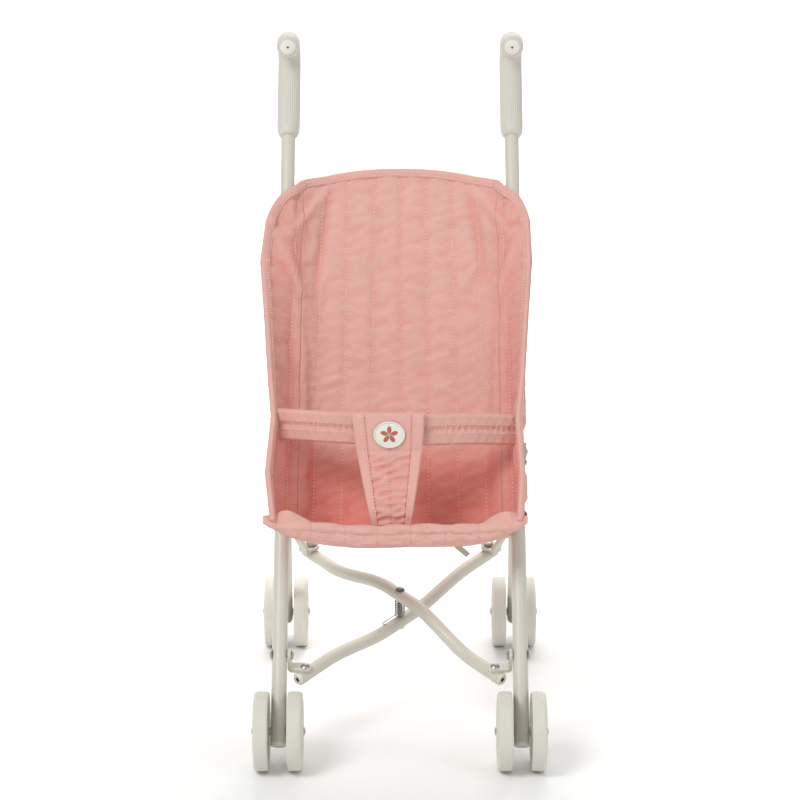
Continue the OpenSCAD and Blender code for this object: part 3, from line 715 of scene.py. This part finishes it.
for a_start, s_start, a_end, s_end, height, width in folds:
    fold = crease(a_start * MM, s_start * MM, a_end * MM, s_end * MM, height * MM, width * MM)
    swell = swell + edge_fade * fold
puffed = shell + swell[..., None] * normals
print(f"swelling up to {1000 * swell.max():.1f} mm")

# %% [markdown]
# The solver gets the cloth as a bare grid. Stitch lines and hems are pinned. Negative shrink makes
# the cloth a little larger than its place, and low bending stiffness lets it buckle finely.

# %% Cloth simulation


def simulate(name, points, pinned, grow, pressure, frames, bending=0.12):
    """Runs the cloth solver on a grid and returns where its points end up."""
    mesh = bpy.data.meshes.new(name)
    mesh.from_pydata(points.reshape(-1, 3).tolist(), [], grid_faces(*points.shape[:2]))
    piece = bpy.data.objects.new(name, mesh)
    bpy.context.scene.collection.objects.link(piece)
    group = piece.vertex_groups.new(name="pinned")
    group.add(np.flatnonzero(pinned.ravel()).tolist(), 1.0, "REPLACE")
    cloth = piece.modifiers.new("Cloth", "CLOTH")
    settings = cloth.settings
    settings.quality = 5
    settings.mass = 0.12
    settings.tension_stiffness = settings.compression_stiffness = 12
    settings.shear_stiffness = 6
    settings.bending_stiffness = bending
    settings.vertex_group_mass = "pinned"
    settings.shrink_min = -grow
    settings.use_pressure = True
    settings.uniform_pressure_force = pressure
    settings.effector_weights.gravity = 0
    cloth.collision_settings.use_self_collision = False
    cloth.point_cache.frame_end = frames
    for number in range(1, frames + 1):
        bpy.context.scene.frame_set(number)
    settled = piece.evaluated_get(bpy.context.evaluated_depsgraph_get()).to_mesh()
    out = np.zeros(len(settled.vertices) * 3)
    settled.vertices.foreach_get("co", out)
    bpy.data.objects.remove(piece)
    bpy.context.scene.frame_set(1)
    return out.reshape(points.shape)


pinned = np.zeros(rise.shape, bool)
pinned[:, stitched] = True
pinned[:2] = pinned[-3:] = True
pinned[:, :3] = pinned[:, -3:] = True
front = puffed
moved = simulate("shell_cloth", puffed, pinned, 0.012, 0.35, 20) - puffed
cap = np.minimum(1, 6 * MM / np.maximum(np.linalg.norm(moved, axis=-1, keepdims=True), 1e-9))
front = puffed + moved * cap
print(f"cloth moved up to {1000 * np.linalg.norm(moved, axis=-1).max():.1f} mm")
fill = ((front - shell) * normals).sum(-1)
thick = np.maximum(2.6 * MM + 0.45 * np.clip(fill, -1 * MM, 6 * MM), 1.5 * MM - fill)
back = shell - thick[..., None] * normals
# Painted shade: the colour is darkened most low down in the bucket, a little in every hollow and in the wings.
low_down = smooth((262 * MM - rise) / (45 * MM)) * smooth((panel_half - np.abs(across)) / (10 * MM))
in_wing = smooth((np.abs(across) - 80 * MM) / (14 * MM)) * smooth((panel_half - np.abs(across)) / (8 * MM))
shell_shade = np.clip(0.42 * low_down * (1 - 0.6 * in_wing) + 0.12 * in_wing
                     + 0.22 * hollows(front, shell, normals), 0, 1)

# %% [markdown]
# The panel is made in three closed pieces that meet at the tubes. Each wing rides with its own tube.
# The middle rides on the left frame.


def rides_with_fold(piece):
    """Rides on the left frame and gets a mesh of its own."""
    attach(piece, "left_frame")
    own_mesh(piece)


middle = slice(split_left, split_right + 1)
back_panel = slab_mesh("quilted_back", front[:, middle], back[:, middle], seat_cotton, cloth_uv[:, middle],
                       shell_shade[:, middle])
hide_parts("seat_back")
rides_with_fold(back_panel)
for name, span in (("left", slice(0, split_left + 1)), ("right", slice(split_right, cols))):
    wing = slab_mesh(f"quilted_wing_{name}", front[:, span], back[:, span], seat_cotton, cloth_uv[:, span],
                     shell_shade[:, span])
    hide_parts(f"seat_side_{name}")
    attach(wing, f"{name}_frame")
print("shell in three pieces")

# %% [markdown]
# ## Stitches
# Each visible stitch is a short bead of pale thread that sinks into the cloth at both ends. All the
# stitches of a piece are one mesh, and each has only a few faces.

# %% Stitch helper


def spaced(path, pitch, start=0.0):
    """Points every pitch along a path, with the path's direction there."""
    gone = np.concatenate([[0], np.cumsum(np.linalg.norm(np.diff(path, axis=0), axis=1))])
    where = np.arange(start + pitch / 2, gone[-1] - pitch / 2, pitch)
    points = np.stack([np.interp(where, gone, path[:, i]) for i in range(3)], -1)
    ahead = np.stack([np.interp(where + pitch / 4, gone, path[:, i]) for i in range(3)], -1)
    return points, unit(ahead - points), where / gone[-1]


def sew(name, seams, material=None, pitch=3.4 * MM, length=2.1 * MM, thick=0.42 * MM,
        lift=0.22 * MM):
    """Beads of thread along several seams. A seam is a path and the cloth's normals along it."""
    ring = np.linspace(0, 2 * np.pi, 6, endpoint=False)
    bead = np.concatenate([[[-1, 0, 0]]] + [
        np.stack([np.full(6, x), r * np.cos(ring), r * np.sin(ring)], -1) for x, r in
        ((-0.72, 0.66), (0, 1), (0.72, 0.66))] + [[[1, 0, 0]]])
    faces = [[0, 1 + (j + 1) % 6, 1 + j] for j in range(6)]
    faces += [[19, 13 + j, 13 + (j + 1) % 6] for j in range(6)]
    faces += [[1 + 6 * i + j, 1 + 6 * i + (j + 1) % 6, 7 + 6 * i + (j + 1) % 6, 7 + 6 * i + j]
              for i in range(2) for j in range(6)]
    points, quads, count = [], [], 0
    for path, path_normals in seams:
        centre, along, share = spaced(path, pitch)
        gone = np.concatenate([[0], np.cumsum(np.linalg.norm(np.diff(path, axis=0), axis=1))])
        n = unit(np.stack([np.interp(share, gone / gone[-1], path_normals[:, i]) for i in range(3)], -1))
        side = np.cross(n, along)
        n = unit(np.cross(along, side))
        axes = np.stack([along * length / 2, side * thick, n * thick], 1)
        points.append((centre + lift * n)[:, None] + np.einsum("vk,nkj->nvj", bead, axes))
        for i in range(len(centre)):
            quads += [[index + count for index in face] for face in faces]
            count += len(bead)
    return finish_mesh(name, np.concatenate(points).reshape(-1, 3), quads, material or thread)


front_normals = grid_normals(front)
inner_rows = slice(3, rows - 4)
for name, columns, body in (
        ("middle", [j for j in stitched if split_left < j < split_right], None),
        ("left", [j for j in stitched if j < split_left], "left_frame"),
        ("right", [j for j in stitched if j > split_right], "right_frame")):
    seams = [(front[inner_rows, j], front_normals[inner_rows, j]) for j in columns]
    seams += [(back[inner_rows, j], -normals[inner_rows, j]) for j in columns]
    piece = sew(f"quilting_stitches_{name}", seams)
    if body:
        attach(piece, body)
    else:
        rides_with_fold(piece)
print("quilting sewn")

# %% [markdown]
# ## Binding
# A folded strip of the same cotton wraps the raw edge, from one front corner up over the arch and
# down to the other. It is a rounded flat section carried along the edge, with two rows of stitches.

# %% Binding round the edge
left_edge = [(i, 0) for i in range(rows)]
top_edge = [(rows - 1, j) for j in range(1, cols - 1)]
right_edge = [(i, cols - 1) for i in range(rows - 1, -1, -1)]
trail = np.array(left_edge + top_edge + right_edge)
rim = shell[trail[:, 0], trail[:, 1]]
rim_normal = normals[trail[:, 0], trail[:, 1]]
gone = np.concatenate([[0], np.cumsum(np.linalg.norm(np.diff(rim, axis=0), axis=1))])
marks = [gone[rows - 1 + j] for j in (split_left, split_right)]
spans = {"left": (0, marks[0]), "middle": tuple(marks), "right": (marks[1], gone[-1])}
bind_half = 4.3 * MM
bind_thick = 2.2 * MM


def along_rim(start, end, step=1.6 * MM):
    """Evenly spaced rim points with the cloth's normal and the way in from the edge."""
    where = np.linspace(start, end, int((end - start) / step) + 1)
    pick = np.stack([np.interp(where, gone, rim[:, i]) for i in range(3)], -1)
    n = unit(np.stack([np.interp(where, gone, rim_normal[:, i]) for i in range(3)], -1))
    ahead, astern = (np.clip(where + step_on, 0, gone[-1]) for step_on in (3 * MM, -3 * MM))
    run = unit(np.stack([np.interp(ahead, gone, rim[:, i]) - np.interp(astern, gone, rim[:, i])
                         for i in range(3)], -1))
    inward = unit(np.cross(n, run))
    middle_point = near_tube(0, 0, 330 * MM)
    inward *= np.sign((inward * (middle_point - pick)).sum(-1).mean())
    facing = np.cross(run, inward)
    return where, pick, unit(facing * np.sign((facing * n).sum(-1, keepdims=True))), inward


around_bind = np.linspace(0, 2 * np.pi, 28, endpoint=False)
for name, (start, end) in spans.items():
    where, pick, n, inward = along_rim(start, end)
    flat_c = np.sign(np.cos(around_bind)) * np.abs(np.cos(around_bind)) ** 0.6
    flat_s = np.sign(np.sin(around_bind)) * np.abs(np.sin(around_bind)) ** 0.8
    ripple = 1 + 0.16 * waves(0, where, 5, 7 * MM)[:, None] * (0.4 + 0.6 * np.abs(flat_c))
    centre = pick + inward * (bind_half - 1.0 * MM)
    rings = (centre[:, None] + bind_half * flat_c[:, None] * inward[:, None]
             + (bind_thick * flat_s * ripple)[..., None] * n[:, None])
    uv = np.stack([np.broadcast_to(around_bind * bind_half, rings.shape[:2]),
                   np.broadcast_to(where[:, None], rings.shape[:2])], -1)
    strip = tube_mesh(f"binding_{name}", rings, edge_cotton, uv)
    seams = [(centre + inward * off + n * bind_thick * lift, n)
             for off, lift in ((2.8 * MM, 0.86), (0.2 * MM, 1.04))]
    stitches = sew(f"binding_stitches_{name}", seams, pitch=2.8 * MM, length=1.9 * MM, thick=0.36 * MM)
    for piece in (strip, stitches):
        if name == "middle":
            rides_with_fold(piece)
        else:
            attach(piece, f"{name}_frame")
print("binding on")

# %% [markdown]
# ## Sleeves
# On each tube the panel ends in a sewn sleeve that the tube slides through. It is a soft tube, a
# little loose, with ripples where it bunches up and a gap where the hinge bracket needs room.

# %% Sleeves round the tubes
for name, side in sides.items():
    for part, (start, end) in {"low": (192, 218), "high": (256, 450)}.items():
        s = np.linspace(start, end, int((end - start) / 1.5) + 1) * MM
        turn = np.linspace(0, 2 * np.pi, 48, endpoint=False)
        fade = smooth((s - s[0]) / (4 * MM)) * smooth((s[-1] - s) / (4 * MM))
        radius = tube_r + 0.5 * MM + fade[:, None] * (
            1.6 * MM + 0.55 * MM * waves(turn[None, :] * 9 * MM, s[:, None], 20 + side, 11 * MM))
        path = near_tube(side * half_w, 0, s)
        uv = np.stack(np.broadcast_arrays(turn[None, :] * 8 * MM, s[:, None]), -1)
        piece = tube_mesh(f"sleeve_{part}_{name}", sweep(path, radius, around=48), seat_cotton, uv)
        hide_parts(f"tube_sleeve_{name}")
        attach(piece, f"{name}_frame")
print("sleeves on")

# %% [markdown]
# ## Seat base and front lip
# The base runs from the crease up to the front, rolls over and hangs down as a shallow boat-shaped
# lip whose ends stand out past the wings. One profile, carried across, makes all of it.

# %% Seat base
axle_y = axle_at[1]
lip_y, lip_z = 38 * MM, 195.6 * MM
crease_y, crease_z = 104 * MM, 164 * MM
lip_left, lip_right = 110 * MM, 102.5 * MM
lip_drop = 11.5 * MM
base_side = 90 * MM


def seat_point(u, w):
    """u runs from -1 to 1 across. w runs 0 to 1 along the base, to 1.3 over the roll and 2 down the lip."""
    w_base = np.clip(w, 0, 1)
    half = np.where(u < 0, lip_left, lip_right)
    half = base_side + (half - base_side) * w_base ** 1.6
    x = u * half
    # Cloth bunches up inside the two front corners, and the front edge dips in the middle.
    corner = np.exp(-((np.abs(u) - 0.83) / 0.13) ** 2) * smooth((w_base - 0.35) / 0.45)
    corner = corner * smooth((1.02 - w) / 0.1)
    side_lift = 6 * MM * np.abs(u) ** 5 * w_base + 8.5 * MM * corner
    sag = 3.5 * MM * np.sin(np.pi * w_base) * (1 - u ** 2) + 2.4 * MM * w_base * (1 - u ** 2) ** 2
    sag = sag - 0.7 * MM * w_base * np.sin(7 * u + 0.5) * (1 - u ** 2)
    y = crease_y + (lip_y - crease_y) * w_base
    z = crease_z + (lip_z - crease_z) * w_base - sag + side_lift
    roll_r = 3.6 * MM
    turn = np.clip((w - 1) / 0.3, 0, 1) * 2.4
    y = y - roll_r * np.sin(turn)
    z = z + roll_r * (np.cos(turn) - 1)
    down = np.clip((w - 1.3) / 0.7, 0, 1)
    drop = lip_drop * (1 - np.abs(u) ** 4.5)
    belly = 2.2 * MM * np.sin(np.pi * down)
    y = y - belly * (1 - np.abs(u) ** 4) + 3.2 * MM * down
    z = z - drop * down
    return np.stack(np.broadcast_arrays(x, axle_y + y, z), -1)


u = np.sin(np.linspace(-1, 1, 191) * np.pi / 2)
w = np.concatenate([np.linspace(0, 1, 70), np.linspace(1, 1.3, 14)[1:], np.linspace(1.3, 2, 34)[1:]])
u_grid, w_grid = np.meshgrid(u, w)
base = seat_point(u_grid, w_grid)
base_n = unit(np.cross(np.gradient(base, axis=1), np.gradient(base, axis=0)))
base_n *= np.sign(base_n[30, 95, 2])
base_x = base[..., 0]
lip_lines = (-45 + 27 * np.arange(-1, 5)) * MM
fan = np.abs(np.sin(np.pi * (base_x + 45 * MM) / (27 * MM)))
steps_down = np.linalg.norm(np.diff(base, axis=0), axis=-1)
depth_uv = np.cumsum(np.concatenate([np.zeros((1, len(u))), steps_down]), 0)
hem = smooth((2 - w_grid) / 0.04) * smooth((1 - np.abs(u_grid)) / 0.05)
base_swell = hem * (0.9 * MM * fan ** 0.7 + 0.4 * MM * waves(base_x, depth_uv, 3, 16 * MM) * fan ** 0.5)
base_swell += hem * 0.9 * MM * waves(depth_uv, base_x, 8, 20 * MM) * (w_grid < 1)
base_front = base + base_swell[..., None] * base_n
held = np.zeros(base_x.shape, bool)
held[:2] = held[-2:] = True
held[:, :3] = held[:, -3:] = True
for line in lip_lines:
    held[:, np.argmin(np.abs(base_x[80] - line))] = True
moved = simulate("base_cloth", base_front, held, 0.012, 0.3, 16) - base_front
cap = np.minimum(1, 4 * MM / np.maximum(np.linalg.norm(moved, axis=-1, keepdims=True), 1e-9))
base_front = base_front + moved * cap
base_back = base - 2.6 * MM * base_n
base_uv = np.stack([base_x, depth_uv], -1)
# Painted shade: the base is darkened towards the crease at the back and in every hollow.
base_shade = np.clip(0.44 * smooth((0.97 - w_grid) / 0.25) + 0.2 * hollows(base_front, base, base_n), 0, 1)
base_piece = slab_mesh("quilted_seat_base", base_front, base_back, seat_cotton, base_uv, base_shade)
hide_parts("seat_base")
rides_with_fold(base_piece)
seams = []
for line in lip_lines:
    j = int(np.argmin(np.abs(base_x[80] - line)))
    seams.append((base_front[3:-3, j], base_n[3:-3, j]))
base_stitches = sew("base_stitches", seams, rose_thread, thick=0.34 * MM)
rides_with_fold(base_stitches)

# The hem is a rolled edge along the bottom of the lip.
hem_path = base[-1] - 0.8 * MM * base_n[-1]
hem_radius = 1.9 * MM * (1 - 0.75 * np.abs(u) ** 6) + 0.15 * MM * waves(0, base_x[-1], 9, 8 * MM)
hem_uv = np.stack(np.broadcast_arrays(np.linspace(0, 10, 20)[None, :] * MM, base_x[-1][:, None]), -1)
hem_piece = tube_mesh("lip_hem", sweep(hem_path, hem_radius, side=(0, 0, 1), around=20), edge_cotton,
                      hem_uv)
rides_with_fold(hem_piece)
print("seat base and lip ready")

# %% [markdown]
# ## Rod pockets
# The two seat rails run in narrow pockets sewn along the sides of the base, so all that shows of them
# is a wrinkled ridge of cotton. Each is a soft tube along the rail's own line.

# %% Rod pockets
for name, side in sides.items():
    low, high = (np.array(corner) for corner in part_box(f"seat_rail_{name}"))
    rail_x = side * (abs(low[0] + high[0]) / 2 + 0.6 * MM)
    front_end = np.array([rail_x, low[1] + 3 * MM, high[2] - 4.5 * MM])
    back_end = np.array([rail_x, high[1] - 1 * MM, low[2] + 6.5 * MM])
    t = np.linspace(-0.02, 1.04, 60)[:, None]
    pocket_path = front_end + t * (back_end - front_end)
    turn = np.linspace(0, 2 * np.pi, 40, endpoint=False)
    girth = 4.3 * MM + 0.4 * MM * waves(turn[None, :] * 5 * MM, t * 60 * MM, 30 + side, 9 * MM)
    girth = girth * (1 - 0.3 * smooth((0.12 - t) / 0.14))
    # An even painted shade darkens the pockets' colour.
    pocket = tube_mesh(f"rail_pocket_{name}", sweep(pocket_path, girth, around=40), seat_cotton,
                       np.stack(np.broadcast_arrays(turn[None, :] * 5 * MM, t * 60 * MM), -1),
                       tone=np.full(60 * 40 + 2, 0.4))
    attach(pocket, f"{name}_frame")
print("rod pockets ready")

# %% [markdown]
# ## Lap belt
# The belt is two folded edges with a gathered seam sunk between them. Its front is worked out as a
# height over a strip that bows forward from wing to wing.

# %% Lap belt
belt_low, belt_high = 250 * MM, 276 * MM
belt_end = 101.5 * MM


def belt_path(x):
    """The belt's depth: 104 mm behind the axle at the ends, 30 mm further forward in the middle."""
    return 104 * MM - 30 * MM * np.cos(np.pi / 2 * np.clip(x / half_w, -1.05, 1.05))


bx = np.linspace(-belt_end, belt_end, 300)
bw = np.linspace(0, 1, 40)
bx_grid, bw_grid = np.meshgrid(bx, bw)
seam = np.exp(-((bw_grid - 0.52) / 0.10) ** 2)
folded = np.minimum(1, np.abs(bw_grid - 0.52) / 0.14) * smooth(bw_grid / 0.08) * smooth((1 - bw_grid) / 0.08)
height = 1.5 * MM * folded + 1.1 * MM * seam * waves(bw_grid * 26 * MM, bx_grid, 22, 4.2 * MM, 6)
height += 0.45 * MM * waves(bw_grid * 26 * MM, bx_grid, 6, 9 * MM) * folded
height += 0.9 * MM * waves(bw_grid * 40 * MM, bx_grid, 16, 30 * MM) * folded
end_drop = np.where(bx_grid > 0, 8 * MM, 3 * MM)
sway = 0.8 * MM * waves(0, bx_grid, 14, 70 * MM) - end_drop * (bx_grid / belt_end) ** 2
belt_z = belt_low + bw_grid * (belt_high - belt_low) + sway
belt_mid = np.stack([bx_grid, axle_y + belt_path(bx_grid), belt_z], -1)
belt_n = unit(np.cross(np.gradient(belt_mid, axis=1), np.gradient(belt_mid, axis=0)))
belt_n *= np.sign(-belt_n[20, 150, 1])
belt_uv = np.stack([bx_grid, bw_grid * 26 * MM], -1)
belt_front = belt_mid + height[..., None] * belt_n
# Painted shade darkens the belt's colour in its hollows.
belt = slab_mesh("lap_belt_cloth", belt_front, belt_mid - 2.2 * MM * belt_n, belt_cotton, belt_uv,
                 0.35 * hollows(belt_front, belt_mid, belt_n, 3))
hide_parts("lap_belt")
rides_with_fold(belt)
seams = [(belt_front[i], belt_n[i]) for i in (15, 26)]
belt_stitches = sew("belt_stitches", seams, pitch=2.9 * MM, length=1.9 * MM, thick=0.36 * MM, lift=0.3 * MM)
rides_with_fold(belt_stitches)
print("belt ready")

# %% [markdown]
# ## Crotch strap
# A tapering panel hangs over the belt and runs down to the lip. It has a folded border at each side
# and a quilted middle that gathers into cross puckers below a row of pale stitches.

# %% Crotch strap
strap_yz = np.array([[69.5, 279], [68.6, 272], [68, 262], [67.6, 250], [65, 240], [59.5, 227],
                     [53, 213], [50, 201], [50, 188]]) * MM
strap_arc = np.concatenate([[0], np.cumsum(np.linalg.norm(np.diff(strap_yz, axis=0), axis=1))])
tw = np.linspace(0, 1, 150)
tu = np.linspace(-1, 1, 110)
tu_grid, tw_grid = np.meshgrid(tu, tw)
strap_s = tw_grid * strap_arc[-1]
edge_l = np.interp(tw_grid, [0, 0.33, 1], np.array([-39.5, -35.5, -23]) * MM)
edge_r = np.interp(tw_grid, [0, 0.33, 1], np.array([20.5, 18.5, 9]) * MM)
strap_x = (edge_l + edge_r) / 2 + tu_grid * (edge_r - edge_l) / 2
strap = np.stack([strap_x, axle_y + np.interp(strap_s, strap_arc, strap_yz[:, 0]),
                  np.interp(strap_s, strap_arc, strap_yz[:, 1])], -1)
for _ in range(10):
    strap[1:-1] = (strap[:-2] + 2 * strap[1:-1] + strap[2:]) / 4
strap_n = unit(np.cross(np.gradient(strap, axis=1), np.gradient(strap, axis=0)))
strap_n *= np.sign(-strap_n[75, 55, 1])
border = np.abs(tu_grid) > 0.66
seam_at = np.exp(-((np.abs(tu_grid) - 0.66) / 0.035) ** 2)
below = smooth((tw_grid - 0.35) / 0.05)
edge_round = smooth((1 - np.abs(tu_grid)) / 0.05) * smooth(tw_grid / 0.03)
ruffle = waves(strap_x, strap_s, 4, 7 * MM, 6)
bulge = 0.5 + 0.5 * np.cos(np.pi * tu_grid / 0.66)
gathers = 1.7 * MM * np.sign(ruffle) * np.abs(ruffle) ** 0.8 + 1.0 * MM * bulge
height = edge_round * np.where(border, 1.4 * MM + 0.3 * MM * waves(strap_x, strap_s, 12, 10 * MM),
                               0.7 * MM + below * gathers)
height -= 0.8 * MM * seam_at * edge_round
height -= 0.6 * MM * np.exp(-((tw_grid - 0.33) / 0.012) ** 2) * edge_round
height -= below * 0.8 * MM * np.exp(-(tu_grid / 0.05) ** 2)
strap_front = strap + height[..., None] * strap_n
# Painted shade darkens the strap in its hollows and over its gathered middle below the stitch row.
strap_piece = slab_mesh("crotch_strap_cloth", strap_front, strap - 2.0 * MM * strap_n, belt_cotton,
                        np.stack([strap_x, strap_s], -1),
                        0.28 * hollows(strap_front, strap, strap_n) + 0.1 * below * ~border)
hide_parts("crotch_strap")
rides_with_fold(strap_piece)
row_at = int(0.33 * len(tw))
border_cols = [int(np.argmin(np.abs(tu - x))) for x in (-0.68, 0.68)]
seams = [(strap_front[row_at, 2:-2], strap_n[row_at, 2:-2])]
seams += [(strap_front[3:-3, j], strap_n[3:-3, j]) for j in border_cols]
seams.append((strap_front[row_at:-3, int(np.argmin(np.abs(tu)))], strap_n[row_at:-3, 0]))
strap_stitches = sew("strap_stitches", seams, pitch=2.9 * MM, length=2.1 * MM, thick=0.4 * MM, lift=0.45 * MM)
rides_with_fold(strap_stitches)
print("strap ready")

# %% [markdown]
# ## Patch
# A small oval embroidered patch is sewn on the strap. Its flower is a plain five-petal one: each
# petal is a raised lobe of satin stitch, and a ring of thread binds the patch's edge.

# %% Patch and flower
patch_row = int(0.19 * len(tw))
patch_at = strap[patch_row, 55] + 2.0 * MM * strap_n[patch_row, 55]
patch_x = np.array([1.0, 0, 0])
patch_n = strap_n[patch_row, 55]
patch_y = np.cross(patch_n, patch_x)
patch_y *= np.sign(patch_y[2])
patch_w, patch_h = 12.4 * MM, 10.6 * MM


def lobe(centre_x, centre_y, half_x, half_y, turn, height, lift):
    """A low dome of oval outline: height x sqrt(1 - r^2) over the patch, closed below."""
    r = np.sin(np.linspace(0, 1, 9) * np.pi / 2)
    angle = np.linspace(0, 2 * np.pi, 28, endpoint=False)
    px = half_x * r[:, None] * np.cos(angle)
    py = half_y * r[:, None] * np.sin(angle)
    qx = centre_x + px * math.cos(turn) - py * math.sin(turn)
    qy = centre_y + px * math.sin(turn) + py * math.cos(turn)
    q = lift + height * np.sqrt(np.clip(1 - r[:, None] ** 2, 0, 1)) + 0 * px
    top = patch_at + qx[..., None] * patch_x + qy[..., None] * patch_y + q[..., None] * patch_n
    foot = top[-1:] - (height + 0.5 * MM) * patch_n
    return np.concatenate([top[1:], foot])


def ride_patch(piece):
    rides_with_fold(piece)


disc = lobe(0, 0, patch_w, patch_h, 0, 0.7 * MM, 0)
disc_uv = np.stack([disc[..., 0], disc[..., 2]], -1)
patch = tube_mesh("oval_patch", disc, patch_cotton, disc_uv)
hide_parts("badge")
ride_patch(patch)
angle = np.linspace(0, 2 * np.pi, 91)[:-1]
edge_loop = (patch_at + patch_w * 0.97 * np.cos(angle)[:, None] * patch_x
             + patch_h * 0.97 * np.sin(angle)[:, None] * patch_y + 0.25 * MM * patch_n)
spoke = unit(edge_loop - patch_at)
ring_turn = np.linspace(0, 2 * np.pi, 12, endpoint=False)
ridge = (0.75 + 0.1 * np.cos(45 * angle))[:, None] * MM
rings = edge_loop[:, None] + ridge[..., None] * (np.cos(ring_turn)[:, None] * spoke[:, None]
                                                 + np.sin(ring_turn)[:, None] * patch_n)
edge_ring = ring_mesh("patch_edge_thread", rings, patch_cotton, np.stack([rings[..., 0], rings[..., 2]], -1))
ride_patch(edge_ring)
petal_out = 4.1 * MM
for k in range(5):
    turn = math.radians(90 + 72 * k)
    shape = lobe(petal_out * math.cos(turn), petal_out * math.sin(turn), 3.2 * MM, 1.9 * MM, turn,
                 0.7 * MM, 0.45 * MM)
    ride_patch(tube_mesh(f"petal_{k + 1}", shape, red_thread))
heart = tube_mesh("flower_heart", lobe(0, 0, 1.7 * MM, 1.7 * MM, 0, 0.8 * MM, 0.7 * MM), sage_thread)
ride_patch(heart)

# %% [markdown]
# A short end of grey-beige webbing hangs under the seat, just behind the front lip.

# %% Webbing tail
tail_box = np.array(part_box("strap_tail"))
tail_mid, tail_half = tail_box.mean(0), (tail_box[1] - tail_box[0]) / 2
tail_t = np.linspace(-1, 1, 30)
tail_centre = tail_mid + np.stack([tail_t * tail_half[0] * 0.5, 0.4 * MM * np.sin(3 * tail_t),
                                   -tail_t * tail_half[2] * 0.6], -1)
section = np.linspace(0, 2 * np.pi, 24, endpoint=False)
tail_way = unit(np.gradient(tail_centre, axis=0))
tail_side = np.cross(tail_way, [0, 1.0, 0])
flat_across = (np.sign(np.cos(section)) * np.abs(np.cos(section)) ** 0.5)[:, None]
tail_rings = (tail_centre[:, None] + 2.4 * MM * flat_across * tail_side[:, None]
              + 0.5 * MM * np.sin(section)[:, None] * np.array([0, 1.0, 0]))
tail_uv = np.stack([tail_rings[..., 0], tail_rings[..., 2]], -1)
tail = tube_mesh("webbing_tail", tail_rings, web_cotton, tail_uv)
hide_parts("strap_tail")
rides_with_fold(tail)
print("patch and tail ready")

# %% [markdown]
# ## Studio
# A pale floor that curves up into a backdrop, large soft lights and a camera a little above the
# stroller, looking down at it with a long lens.

# %% Floor, lights and camera
bend = np.linspace(0, np.pi / 2, 16)
floor_y = np.concatenate([np.linspace(-6, 2.0, 12), 2.0 + 1.5 * np.sin(bend)[1:], [3.5, 3.5]])
floor_z = np.concatenate([np.zeros(12), 1.5 * (1 - np.cos(bend))[1:], [3.5, 6.0]])
floor_x = np.linspace(-6, 6, 9)
sweep_grid = np.stack(np.broadcast_arrays(floor_x[None, :], floor_y[:, None], floor_z[:, None]), -1)
floor_paint, floor_tree, floor_shader = new_material("matt_white_paper", Roughness=0.95)
two_tone(floor_tree, floor_shader, "#f6f6f5", "#f3f3f2", 400)
floor_mesh = bpy.data.meshes.new("studio_floor")
floor_mesh.from_pydata(sweep_grid.reshape(-1, 3).tolist(), [], grid_faces(*sweep_grid.shape[:2]))
floor_mesh.shade_smooth()
floor_mesh.materials.append(floor_paint)
floor = bpy.data.objects.new("studio_floor", floor_mesh)
bpy.context.scene.collection.objects.link(floor)


def soft_light(name, place, target, size, watts):
    light = bpy.data.lights.new(name, "AREA")
    light.shape = "DISK"
    light.size = size
    light.energy = watts
    lamp = bpy.data.objects.new(name, light)
    bpy.context.scene.collection.objects.link(lamp)
    lamp.location = place
    lamp.rotation_euler = (Vector(target) - Vector(place)).to_track_quat("-Z", "Y").to_euler()


soft_light("key_light", (-1.3, -1.6, 2.2), (0, 0, 0.3), 1.2, 36)
soft_light("fill_light", (1.6, -1.5, 1.5), (0, 0, 0.3), 1.5, 9)
soft_light("back_light", (0.2, 1.6, 2.2), (0, 0, 0.3), 1.4, 20)
soft_light("backdrop_light", (0, 0.9, 1.9), (0, 3.4, 0.5), 2.4, 70)
world = bpy.data.worlds.new("studio_air")
bpy.context.scene.world = world
world.use_nodes = True
world.node_tree.nodes["Background"].inputs["Color"].default_value = (1, 1, 1, 1)
world.node_tree.nodes["Background"].inputs["Strength"].default_value = 0.52
# A plain display curve keeps dyed cloth and paint the colour that their finishes say.
bpy.context.scene.view_settings.view_transform = "Standard"

lens = bpy.data.cameras.new("studio_camera")
lens.lens = 107.3
lens.clip_start, lens.clip_end = 0.1, 30
camera = bpy.data.objects.new("studio_camera", lens)
bpy.context.scene.collection.objects.link(camera)
camera.location = (0, -1.9457, 0.771)
camera.rotation_euler = Vector((0, 0.9681, -0.2504)).to_track_quat("-Z", "Y").to_euler()
bpy.context.scene.camera = camera
print("studio ready")
